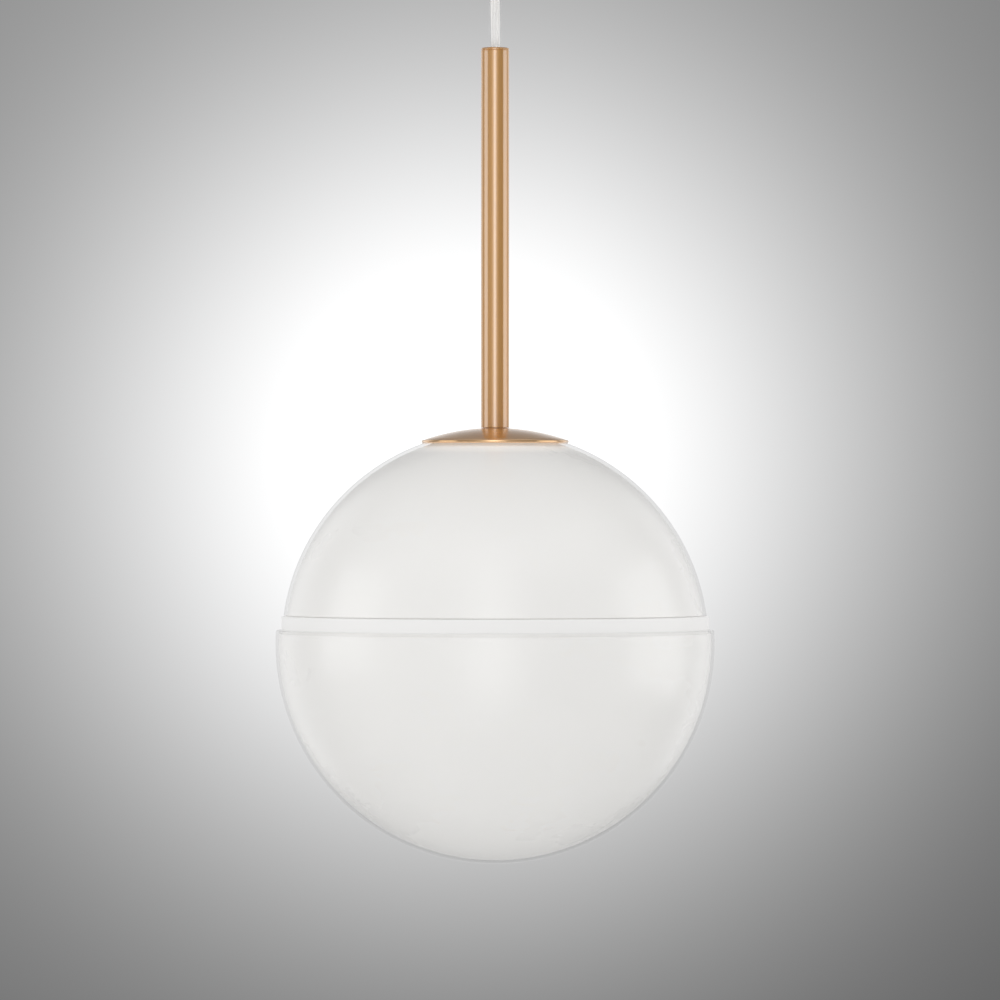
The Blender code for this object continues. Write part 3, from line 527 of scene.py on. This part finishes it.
def striped_core(name, colour, stripe):
    """Green core insulation with its yellow stripe winding round it."""
    made = finish(name)
    x, y, z = made.axes()
    wave = made.node("Math", {"operation": "SINE"}, {0: 900 * (x + 0.6 * y) + 700 * z})
    band = made.ramp(wave, (0.45, 0.0), (0.55, 1.0))
    cloud = made.noise((300, 300, 300), 2.0)
    inputs = {
        "Base Color": made.tint(band, colour, stripe),
        "Roughness": 0.32 + 0.12 * cloud,
        "Normal": made.bump(cloud, 0.02 * MM),
    }
    return made.surface(made.node("BsdfPrincipled", None, inputs))


def board(name):
    """White light board with its ring of yellow light chips."""
    made = finish(name)
    x, y, z = made.axes()
    across = (x * x + y * y) ** 0.5
    turn = made.node("Math", {"operation": "ARCTAN2"}, {0: y, 1: x})
    spoke = made.node("Math", {"operation": "COSINE"}, {0: 8 * turn})
    ring = (0 - ((across - 10 * MM) / (1.6 * MM)) ** 2).exp()
    chip = made.ramp(ring * (0.5 + 0.5 * spoke), (0.62, 0.0), (0.66, 1.0))
    inputs = {
        "Base Color": made.tint(chip, (0.84, 0.85, 0.84), (0.85, 0.62, 0.12)),
        "Roughness": 0.45 - 0.2 * chip,
    }
    return made.surface(made.node("BsdfPrincipled", None, inputs))


CAP_BEAD_STARTS = 39.8 * MM
COLLAR_INSIDE = 115 * MM
finishes = {
    "satin_gold": satin("drawn_gold", DRAWN_GOLD, 0.60, False, lacquer=0.12),
    "spun_gold": satin("spun_gold", GOLD, 0.38, True),
    "cap_gold": satin("cap_gold", GOLD, 0.40, True, CAP_BEAD_STARTS),
    # An opal finish's third value is its painted glow
    "upper_opal": opal("upper_opal", OPAL, OPAL_PAINTED_GLOW, UPPER_RADIUS - OPAL_MIDDLE),
    "lower_opal": opal("lower_opal", OPAL, OPAL_PAINTED_GLOW, BOWL_RADIUS - OPAL_MIDDLE),
    "frosted_band": opal("frosted_band", (0.895, 0.888, 0.878), 0.16, COLLAR_INSIDE, 0.4),
    "casing": casing("clear_casing", 0.26, (0.985, 0.984, 0.981)),
    "clear_plastic": clear("clear_plastic", (0.93, 0.94, 0.93), 0.16, 1.49),
    "clear_sheath": casing("clear_sheath", 0.10, (0.985, 0.985, 0.985)),
    "zinc_steel": metal("zinc_steel", (0.60, 0.61, 0.62), 0.36, 1500),
    "brass": metal("turned_brass", (0.74, 0.54, 0.27), 0.26, 2200, turned_lines=True),
    "spring_steel": metal("spring_steel", (0.55, 0.55, 0.56), 0.24, 1800),
    "nickel": metal("rolled_nickel", (0.66, 0.64, 0.60), 0.22, 2000, turned_lines=True),
    "white_rubber": moulded("white_rubber", (0.75, 0.75, 0.73), 0.62, 1500, 0.03 * MM),
    "white_plastic": moulded("white_plastic", (0.80, 0.80, 0.78), 0.38),
    "white_ceramic": moulded("white_ceramic", (0.82, 0.81, 0.77), 0.30, 900, 0.02 * MM, 0.8),
    "black_glass": moulded("black_glass", (0.02, 0.02, 0.022), 0.12, 700, 0.02 * MM, 0.5),
    "brown_core": moulded("brown_core", (0.17, 0.07, 0.03), 0.36, 900),
    "blue_core": moulded("blue_core", (0.03, 0.12, 0.42), 0.36, 900),
    "green_core": striped_core("green_core", (0.08, 0.33, 0.06), (0.78, 0.62, 0.05)),
    # The flex cores get a faint painted glow to look brighter
    "white_core": moulded("white_core", (0.92, 0.92, 0.91), 0.24, 900, painted_glow=0.10),
    "board_white": board("board_white"),
    "opal_plastic": opal("opal_plastic", (0.88, 0.875, 0.86), 0.0, 0.0, 0.4),
}


def dress(obj, body, finish_name, slot, *nodes):
    """Gives a piece its finish, the body it rides on and the CAD nodes it stands for."""
    obj.data.materials.clear()
    obj.data.materials.append(finishes[finish_name])
    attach(obj, body)
    if nodes:
        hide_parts(*nodes)
    return obj


# Free flex: a clear sheath over three cores in a slow twist

CORD_RADIUS = 3.4 * MM
CORD_INTO_GRIP = 1.6 * MM
CORD_INTO_STEM = 1.8 * MM
CORE_RADIUS = 1.15 * MM
CORE_CIRCLE = 1.75 * MM  # radius that the cores' middles wind on
CORE_TURNS = 2.5  # to the metre

cord_top = foot("cord_grip") + CORD_INTO_GRIP
cord_foot = top("stem_tube") - CORD_INTO_STEM


def strand(name, radius, points):
    """A round strand through its points, with closed ends."""
    curve = bpy.data.curves.new(name, "CURVE")
    curve.dimensions = "3D"
    spline = curve.splines.new("POLY")
    spline.points.add(len(points) - 1)
    for point, spot in zip(spline.points, points):
        point.co = (*spot, 1)
    curve.bevel_depth = radius
    curve.bevel_resolution = 10
    curve.use_fill_caps = True
    obj = bpy.data.objects.new(name, curve)
    bpy.context.scene.collection.objects.link(obj)
    return obj


def twist(angle, low, high, per_metre, count=24):
    """Points down a core that winds slowly round the flex's middle."""
    points = []
    for i in range(count):
        z = high + (low - high) * i / (count - 1)
        turn = angle + math.tau * per_metre * z
        points.append((CORE_CIRCLE * math.cos(turn), CORE_CIRCLE * math.sin(turn), z))
    return points


def make_free_flex():
    count = 16
    route = [(0, 0, cord_top + (cord_foot - cord_top) * i / (count - 1)) for i in range(count)]
    sheath = strand("flex_sheath", CORD_RADIUS, route)
    dress(sheath, "flex", "clear_sheath", "clear_sheath", "supply_cord")
    for number in range(3):
        start = math.radians(205 + 120 * number)
        points = twist(start, cord_foot + GAP, cord_top - GAP, CORE_TURNS)
        core = strand(f"flex_core_{number + 1}", CORE_RADIUS, points)
        dress(core, "flex", "white_core", "clear_sheath")


make_free_flex()


# Stem and cap

CAP_CURVE = 124 * MM
CAP_HOLE = 5.3 * MM
LIP_DROP = 0.3 * MM  # brings the cap's bead down close to the glass
STEM_SEAT = 0.45 * MM  # brings the stem's foot down onto the dome


def make_stem():
    """Drawn tube with a fine line turned under its rounded rim, and the bush in its mouth."""
    radius = 8 * MM
    bore = 7 * MM
    length = top("stem_tube") - foot("stem_tube") + STEM_SEAT
    line = 1.35 * MM
    cut = 0.30 * MM
    outline = [
        (bore, 0, 0.02 * MM),
        (radius, 0, 0.85 * MM),
        (radius, -line + cut, 0.08 * MM),
        (radius - cut, -line),
        (radius, -line - cut, 0.08 * MM),
        (radius, -length, 0.2 * MM),
        (bore, -length),
    ]
    pipe = turned("stem_pipe", outline, top("stem_tube"))
    dress(pipe, "pendant", "satin_gold", "satin_gold", "stem_tube")
    outline = [
        (5.5 * MM, 0, 0.3 * MM),
        (6.7 * MM, 0, 0.4 * MM),
        (6.7 * MM, -14 * MM, 0.3 * MM),
        (3.9 * MM, -14 * MM),
        (3.9 * MM, -3.2 * MM, 1.0 * MM),
    ]
    bush = turned("stem_bush_liner", outline, top("stem_bush"), 64)
    dress(bush, "bush", "white_plastic", "white_plastic", "stem_bush")


def make_cap():
    """Spun dome with a small rolled bead round its edge."""
    crest = top("dome_cap")
    edge = 42 * MM
    bead = 1.0 * MM
    wall = 1.0 * MM
    groove = edge - 2.0 * bead
    centre = crest - CAP_CURVE
    skirt = foot("dome_cap") - LIP_DROP
    dome = ball(CAP_CURVE, rise(CAP_CURVE, CAP_HOLE), rise(CAP_CURVE, groove), 28, centre)
    rolled = arc((edge - bead, skirt + bead), bead, 125, -90, 16)
    inner = CAP_CURVE - wall
    under = ball(inner, rise(inner, groove - 0.6 * bead), rise(inner, CAP_HOLE), 28, centre)
    outline = [*dome, *rolled, (groove - 0.6 * bead, skirt + 0.15 * MM), *under]
    cap = turned("cap_dome", outline, 0, 192, 60)
    dress(cap, "pendant", "cap_gold", "satin_gold", "dome_cap")


make_stem()
make_cap()


# Globe: opal under clear glass, in two halves, and the band between them


def make_upper_glass():
    """Upper half: flat where the cap's gasket seats, and open at the seam."""
    seat_z = rise(UPPER_RADIUS, SEAT)
    opal_out = UPPER_RADIUS - CASING - OPAL_BEHIND
    inside = UPPER_RADIUS - GLASS
    ledge = SEAT + 0.5 * MM
    outline = [
        (GLASS_HOLE, seat_z, 0.3 * MM),
        (SEAT, seat_z, 0.3 * MM),
        *ball(opal_out, rise(opal_out, ledge), UPPER_RIM + OPAL_ABOVE_RIM, 48),
        *ball(inside, UPPER_RIM + OPAL_ABOVE_RIM, seat_z - GLASS, 48),
        (GLASS_HOLE, seat_z - GLASS, 0.3 * MM),
    ]
    glass = turned("upper_opal", outline, globe_z, 192)
    dress(glass, "pendant", "upper_opal", "opal_glass", "upper_shade")
    start = SEAT + 1.5 * MM
    clear_in = UPPER_RADIUS - CASING
    outline = [
        *ball(UPPER_RADIUS, rise(UPPER_RADIUS, start), UPPER_RIM + 0.3 * MM, 48),
        (rise(UPPER_RADIUS, UPPER_RIM) - 0.3 * MM, UPPER_RIM),
        (rise(clear_in, UPPER_RIM) + 0.3 * MM, UPPER_RIM),
        *ball(clear_in, UPPER_RIM + 0.3 * MM, rise(clear_in, start), 48),
    ]
    dress(turned("upper_casing", outline, globe_z, 192), "pendant", "casing", "opal_glass")


def make_bowl():
    """Lower half: its opal stops short of a round clear rim."""
    opal_out = BOWL_RADIUS - CASING - OPAL_BEHIND
    inside = BOWL_RADIUS - GLASS
    edge = 0.4 * MM
    opal_rim = LOWER_RIM - CLEAR_RIM
    outline = [
        (0, -inside),
        *ball(inside, -0.9999 * inside, opal_rim - edge, 72),
        (rise(inside, opal_rim) + 0.3 * MM, opal_rim),
        (rise(opal_out, opal_rim) - 0.3 * MM, opal_rim),
        *ball(opal_out, opal_rim - edge, -0.9999 * opal_out, 72),
        (0, -opal_out),
    ]
    bowl = turned("lower_opal", outline, globe_z, 192)
    dress(bowl, "bowl", "lower_opal", "opal_glass", "lower_shade")
    clear_in = BOWL_RADIUS - CASING
    lip = 0.94 * MM
    rim_ring = (rise(BOWL_RADIUS, LOWER_RIM - lip) - lip, LOWER_RIM - lip)
    outline = [
        (0, -clear_in),
        *ball(clear_in, -0.9999 * clear_in, LOWER_RIM - lip, 72),
        *arc(rim_ring, lip, 170, 10, 9),
        *ball(BOWL_RADIUS, LOWER_RIM - lip, -0.9999 * BOWL_RADIUS, 72),
        (0, -BOWL_RADIUS),
    ]
    dress(turned("lower_casing", outline, globe_z, 192), "bowl", "casing", "opal_glass")


def make_collar():
    """Frosted band that shows at the seam, with its skirt inside the bowl."""
    tongue = 115.84 * MM  # outer radius of what is bonded inside the upper glass
    tongue_top = 22 * MM
    band = 121.64 * MM
    skirt = 121.24 * MM
    wall = 1.6 * MM
    rivet_rise = 4.5 * MM
    band_top = UPPER_RIM - HAIRLINE
    band_foot = LOWER_RIM + HAIRLINE
    outline = [
        (tongue - wall, tongue_top, 0.4 * MM),
        (tongue, tongue_top, 0.4 * MM),
        (tongue, band_top, 0.3 * MM),
        (band, band_top, 0.9 * MM),
        (band, band_foot, 0.9 * MM),
        (skirt, band_foot - 0.1 * MM),
        (skirt, LOWER_RIM - COLLAR_SKIRT, 0.4 * MM),
        (skirt - wall, LOWER_RIM - COLLAR_SKIRT, 0.4 * MM),
        (skirt - wall, band_foot, 0.3 * MM),
        (tongue - wall, band_foot + wall, 0.3 * MM),
    ]
    collar = turned("collar_ring", outline, globe_z, 192)
    rivet_z = globe_z + LOWER_RIM - COLLAR_SKIRT + rivet_rise
    holes = []
    for number in range(3):
        angle = math.radians(5 + 120 * number)
        out = Vector((math.cos(angle), math.sin(angle), 0))
        turn = Matrix.Rotation(angle, 3, "Z") @ Matrix.Rotation(math.pi / 2, 3, "Y")
        holes.append(rod(1.5 * MM, 9 * MM, skirt * out + Vector((0, 0, rivet_z)), turn, 24))
    carve(collar, *holes)
    dress(collar, "pendant", "frosted_band", "clear_plastic", "seam_collar")


make_upper_glass()
make_bowl()
make_collar()


# Ceiling fitting

CUP_RADIUS = 50 * MM
CUP_DEPTH = 25 * MM
CUP_WALL = 1 * MM
CUP_BEND = 6 * MM
CUP_SCREW_Z = -8.5 * MM
CUP_SCREW_HOLE = 2.3 * MM
STRAP_SHEET = 1.5 * MM
STRAP_WIDTH = 20 * MM
SLOT_PLACE = 32 * MM  # of a slot's middle
SLOT_RUN = 9 * MM  # between the middles of a slot's round ends
SLOT_RADIUS = 2.5 * MM
GRIP_BORE = 3.9 * MM
GRIP_NECK = 5.1 * MM
POLE_PITCH = 9 * MM
BLOCK_SCREW_HOLE = 1.6 * MM
EARTH_SCREW_HOLE = 2.1 * MM
EARTH_SCREW_PLACE = 18.5 * MM
WIRE_WAY = 1.5 * MM
SCREW_WELL = 1.7 * MM


def make_cup():
    """Spun cup with a hole for the cord grip and one on each side for its screws."""
    inside = CUP_RADIUS - CUP_WALL
    hole = GRIP_NECK + GAP
    outline = [
        (inside, 0, 0.2 * MM),
        (CUP_RADIUS, 0, 0.4 * MM),
        (CUP_RADIUS, -CUP_DEPTH, CUP_BEND),
        (hole, -CUP_DEPTH, 0.3 * MM),
        (hole, CUP_WALL - CUP_DEPTH),
        (inside, CUP_WALL - CUP_DEPTH, CUP_BEND - CUP_WALL),
    ]
    cup = turned("cup_shell", outline, top("canopy_cup"), 144)
    across = Matrix.Rotation(math.pi / 2, 3, "Y")
    carve(cup, rod(CUP_SCREW_HOLE, 3 * CUP_RADIUS, (0, 0, CUP_SCREW_Z), across))
    dress(cup, "ceiling", "spun_gold", "satin_gold", "canopy_cup")


def make_strap():
    """Fixing strap with two rounded slots and holes for its screws."""
    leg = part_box("ceiling_bracket")[1].x
    foot_z = foot("ceiling_bracket")
    outline = [(-leg, foot_z), (-leg, 0, 3 * MM), (leg, 0, 3 * MM), (leg, foot_z)]
    strap = bent_sheet("strap", outline, STRAP_WIDTH, STRAP_SHEET)
    through = 9 * MM
    across = Matrix.Rotation(math.pi / 2, 3, "Y")
    cutters = [rod(CUP_SCREW_HOLE, 4 * leg, (0, 0, CUP_SCREW_Z), across)]
    for side in (-1, 1):
        middle = side * SLOT_PLACE
        cutters.append(slab((SLOT_RUN, 2 * SLOT_RADIUS, through), (middle, 0, 0)))
        ends = [middle + end * SLOT_RUN / 2 for end in (-1, 1)]
        cutters += [rod(SLOT_RADIUS, through, (x, 0, 0)) for x in ends]
    cutters.append(rod(BLOCK_SCREW_HOLE, through, (POLE_PITCH / 2, 0, 0)))
    cutters.append(rod(EARTH_SCREW_HOLE, through, (EARTH_SCREW_PLACE, 0, 0)))
    for tool in cutters:
        carve(strap, tool)
    dress(strap, "ceiling", "zinc_steel", "zinc_steel", "ceiling_bracket")


def make_block():
    """Terminal block with a wire way and a screw well for each pole."""
    low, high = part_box("terminal_block")
    middle = (low + high) / 2
    block = rounded_box("block_body", high - low, middle, 0.6 * MM)
    along = Matrix.Rotation(math.pi / 2, 3, "X")
    through = 30 * MM
    for pole in (-1, 0, 1):
        x = pole * POLE_PITCH
        carve(block, rod(WIRE_WAY, through, (x, 0, middle.z), along))
        carve(block, rod(SCREW_WELL, 10 * MM, (x, 0, low.z)))
    carve(block, rod(BLOCK_SCREW_HOLE, through, (POLE_PITCH / 2, 0, middle.z)))
    for between in (-0.5, 0.5):
        for side in (-1, 1):
            spot = (between * POLE_PITCH, side * high.y, middle.z)
            carve(block, slab((1.2 * MM, 1.6 * MM, through), spot))
    dress(block, "ceiling", "white_plastic", "white_plastic", "terminal_block")


def make_grip():
    """Cord grip: threaded neck, flange and slim tail with a bell mouth."""
    length = top("cord_grip") - foot("cord_grip")
    neck = 7.3 * MM
    mouth = GRIP_BORE + 1.0 * MM
    outline = [
        (GRIP_BORE, 0, 0.2 * MM),
        *wall_rows(GRIP_NECK, -0.2 * MM, 0.3 * MM - neck, 1.0 * MM),
        (GRIP_NECK, -neck),
        (9 * MM, -neck, 0.5 * MM),
        (9 * MM, -neck - 2 * MM, 0.5 * MM),
        (7.2 * MM, -neck - 3.2 * MM, 0.8 * MM),
        (mouth + 0.8 * MM, 0.9 * MM - length, 0.5 * MM),
        (mouth + 0.3 * MM, -length, 0.15 * MM),
        (mouth, -length, 0.15 * MM),
        (GRIP_BORE, 2.2 * MM - length, 1.0 * MM),
    ]
    grip = turned("grip_body", outline, top("cord_grip"), 72)
    low, high = top("cord_grip") - neck + 0.3 * MM, top("cord_grip") - 0.2 * MM
    thread(grip, low, high, 1.0 * MM, 0.35 * MM, 4.6 * MM)
    dress(grip, "ceiling", "clear_plastic", "clear_plastic", "cord_grip")


make_cup()
make_strap()
make_block()
make_grip()


# Lampholder and lamp

HOLDER_RADIUS = 19.5 * MM
THREAD_PITCH = 3.6 * MM
THREAD_DEPTH = 0.6 * MM


def make_lampholder():
    """Domed cap, ribbed sleeve and the rolled brass thread that takes the lamp."""
    inside = 18.2 * MM
    hole = 5.3 * MM
    outline = [
        (hole, 0, 0.3 * MM),
        (12 * MM, 0, 1.2 * MM),
        (HOLDER_RADIUS, -10.5 * MM, 2.5 * MM),
        (HOLDER_RADIUS, -22.2 * MM, 0.3 * MM),
        (inside, -22.2 * MM),
        (inside, -11.3 * MM, 1.0 * MM),
        (11.4 * MM, -2 * MM, 0.6 * MM),
        (hole, -2 * MM),
    ]
    cap = turned("holder_dome", outline, top("holder_cap"), 96)
    dress(cap, "pendant", "white_plastic", "white_plastic", "holder_cap")
    bore = 14.6 * MM
    groove = HOLDER_RADIUS - 0.5 * MM
    ribs = []
    for number in range(6):
        z = -(4 + 3 * number) * MM
        ribs += [(HOLDER_RADIUS, z, 0.2 * MM), (groove, z - 0.3 * MM, 0.2 * MM)]
        ribs += [(groove, z - 1.2 * MM, 0.2 * MM), (HOLDER_RADIUS, z - 1.5 * MM, 0.2 * MM)]
    outline = [
        (bore, 0),
        (HOLDER_RADIUS, 0, 0.3 * MM),
        *ribs,
        (HOLDER_RADIUS, -31.7 * MM, 1.5 * MM),
        (bore, -31.7 * MM, 0.8 * MM),
    ]
    body = turned("holder_sleeve", outline, top("holder_body"), 96)
    dress(body, "pendant", "white_plastic", "white_plastic", "holder_body")
    outer = 14.25 * MM
    inner = 13.75 * MM
    length = top("screw_shell") - foot("screw_shell")
    outline = [*wall_rows(outer, 0, -length, THREAD_PITCH), *wall_rows(inner, -length, 0, THREAD_PITCH)]
    shell = turned("shell_thread", outline, top("screw_shell"), 72)
    low, high = foot("screw_shell") + 0.5 * MM, top("screw_shell") - 0.5 * MM
    thread(shell, low, high, THREAD_PITCH, 0.45 * MM)
    dress(shell, "pendant", "brass", "brass", "screw_shell")


def make_lamp():
    """Screw lamp: rolled cap, flared white body and a round diffuser."""
    radius = 13.2 * MM
    length = top("bulb_screw_cap") - foot("bulb_screw_cap")
    outline = [
        (0, 0),
        (radius - 1.2 * MM, 0, 0.4 * MM),
        *wall_rows(radius, -1.2 * MM, 1.2 * MM - length, THREAD_PITCH),
        (radius, -length, 0.3 * MM),
        (0, -length),
    ]
    cap = turned("lamp_thread", outline, top("bulb_screw_cap"), 72)
    low, high = foot("bulb_screw_cap") + 1.6 * MM, top("bulb_screw_cap") - 0.8 * MM
    thread(cap, low, high, THREAD_PITCH, THREAD_DEPTH, radius - 0.1 * MM)
    dress(cap, "bulb", "nickel", "zinc_steel", "bulb_screw_cap")
    neck = 13.6 * MM
    mouth = 19.8 * MM
    height = top("bulb_housing") - foot("bulb_housing")
    flare = [(neck + (mouth - neck) * (i / 16) ** 1.8, -height * i / 16) for i in range(1, 16)]
    outline = [(0, 0), (neck, 0, 0.3 * MM), *flare, (mouth, -height, 0.3 * MM), (0, -height)]
    body = turned("lamp_body", outline, top("bulb_housing"), 96)
    dress(body, "bulb", "white_plastic", "white_plastic", "bulb_housing")
    ball_radius = 30 * MM
    wall = 1 * MM
    inside = ball_radius - wall
    centre = foot("bulb_envelope") + ball_radius
    rim = rise(ball_radius, mouth)
    outline = [
        (0, -inside),
        *ball(inside, -0.999 * inside, rim, 40),
        *ball(ball_radius, rim, -0.999 * ball_radius, 40),
        (0, -ball_radius),
    ]
    envelope = turned("lamp_diffuser", outline, centre, 128)
    dress(envelope, "bulb", "opal_plastic", "opal_glass", "bulb_envelope")


make_lampholder()
make_lamp()


# CAD nodes that stay as they are, but for a fine edge

EDGE_WIDTH = 0.12 * MM
OWN_FINISH = {
    "cup_flex": "white_core",
    "stem_flex": "white_core",
    "upper_shade": "upper_opal",
    "lower_shade": "lower_opal",
    "bulb_envelope": "opal_plastic",
}

slot_of = {row["node"]: row["material_slot"] for row in frame["record"]["subparts"]}
for name, node in frame["nodes"].items():
    for slot in node.material_slots:
        slot.material = finishes[OWN_FINISH.get(name, slot_of[name])]
    edges = node.modifiers.new("edges", "BEVEL")
    edges.width = EDGE_WIDTH
    edges.segments = 2
    edges.limit_method = "ANGLE"
    edges.angle_limit = math.radians(50)


# Studio: a lit backdrop, two side panels, a low reflector, a narrow front light and a soft room

GLOW_ASIDE = 0.00185  # the glow's middle and spread are slopes seen from the camera
GLOW_ABOVE = -0.0005
GLOW_SPREAD = 0.0569
GLOW_LEAST = 0.176
GLOW_HEIGHT = 1.046
BACKDROP_EDGE = 0.0625  # a square of a slope, past which the other walls take over
OTHER_WALLS = 0.36
FLOOR_RADIUS = 2.2
FLOOR_Z = -1.4


def make_world():
    """The backdrop that the camera sees, and the lit room that the light sees."""
    world = bpy.data.worlds.new("studio")
    bpy.context.scene.world = world
    made = Finish(world)
    x, y, z = made.axes(made.node("TexCoord", output="Generated"))
    level = (x * x + y * y) ** 0.5
    ahead = made.math("GREATER_THAN", y, 0.0)

    aside = x / y + GLOW_ASIDE
    above = z / y - GLOW_ABOVE
    off = aside * aside + above * above
    slant = 1 + 3.7 * (z / y) - 1.59 * (x / y)  # brighter towards the top and the left
    tilt = made.math("MINIMUM", made.math("MAXIMUM", slant, 0.6), 1.4)
    near = ahead * (0 - (off / BACKDROP_EDGE) ** 2).exp()
    glow = GLOW_LEAST + GLOW_HEIGHT * (0 - off / GLOW_SPREAD**2).exp()
    backdrop = glow * tilt * near + OTHER_WALLS * (1 - near)

    def lamp(azimuth, spread, tall, strength):
        """A tall soft light so many degrees round from the camera's side."""
        side = math.sin(math.radians(azimuth))
        front = math.cos(math.radians(azimuth))
        across = ((side * x - front * y) / level - 1) / (0.5 * math.radians(spread) ** 2)
        return strength * (across - (z / tall) ** 4).exp()

    lit_wall = 1.1 * ahead * (0 - off / 0.1).exp()
    band = made.ramp(made.math("ABSOLUTE", z), (0.50, 1.0), (0.85, 0.0))
    facing = made.ramp(0.5 - 0.45 * y + 0.15 * x, (0.42, 0.0), (0.78, 1.0))
    high = made.math("GREATER_THAN", z, 0.0)
    outwards = made.ramp(made.math("ABSOLUTE", x), (0.32, 0.0), (0.52, 1.0))
    behind = made.ramp(y, (0.45, 0.0), (0.75, 1.0)) * outwards
    ceiling = high * (0.44 + 1.25 * facing * (1.10 - z) / 0.5)
    ground = (1 - high) * (1.40 + 1.35 * facing)
    room = band * (0.27 - 0.08 * x + 0.78 * behind) + (1 - band) * (ceiling + ground)
    lights = room + lit_wall + lamp(-2, 17, 0.75, 1.30) + lamp(-2, 8, 0.5, 0.8)
    seen = made.node("LightPath", output="Is Camera Ray")
    strength = lights * (1 - seen) + backdrop * seen
    shader = made.node("Background", None, {"Color": (0.997, 0.998, 1.0, 1), "Strength": strength})
    made.surface(shader, "World")


WATTS = 4  # of an even panel, for each square metre and unit of its brightness


def make_softbox(name, where, width, height, radiance, aim=None):
    """A lit panel that the camera doesn't see. It faces level to the light, or a height on it."""
    data = bpy.data.lights.new(name, "AREA")
    data.shape = "RECTANGLE"
    data.size = width
    data.size_y = height
    data.energy = WATTS * width * height * radiance
    panel = bpy.data.objects.new(name, data)
    bpy.context.scene.collection.objects.link(panel)
    panel.location = where
    facing = Vector((-where[0], -where[1], 0 if aim is None else aim - where[2]))
    panel.rotation_euler = facing.to_track_quat("-Z", "Y").to_euler()
    panel.visible_camera = False


def make_floor():
    """Pale studio floor well below the light, fading out at its edge."""
    shape = bmesh.new()
    bmesh.ops.create_circle(shape, cap_ends=True, segments=96, radius=FLOOR_RADIUS)
    bmesh.ops.translate(shape, verts=shape.verts, vec=(0, 0, FLOOR_Z))
    floor = keep("studio_floor", shape)
    made = finish("pale_floor")
    x, y, _ = made.axes()
    across = (x * x + y * y) ** 0.5
    fade = made.ramp(across / FLOOR_RADIUS, (0.45, 1.0), (0.98, 0.0))
    pale = made.node("BsdfDiffuse", None, {"Color": (0.72, 0.72, 0.715, 1)})
    gone = made.node("BsdfTransparent")
    soft_edged = made.node("MixShader", None, {0: fade, 1: gone, 2: pale})
    floor.data.materials.append(made.surface(soft_edged))


make_world()
make_softbox("left_panel", (-0.985, -0.17, -0.24), 0.62, 0.74, 0.86)
make_softbox("right_panel", (1.0, 0.03, -0.30), 0.76, 0.86, 0.98)
make_softbox("low_reflector", (0.0, -0.30, -1.20), 1.1, 1.1, 0.17, globe_z)
make_floor()
bpy.context.scene.view_settings.view_transform = "Standard"
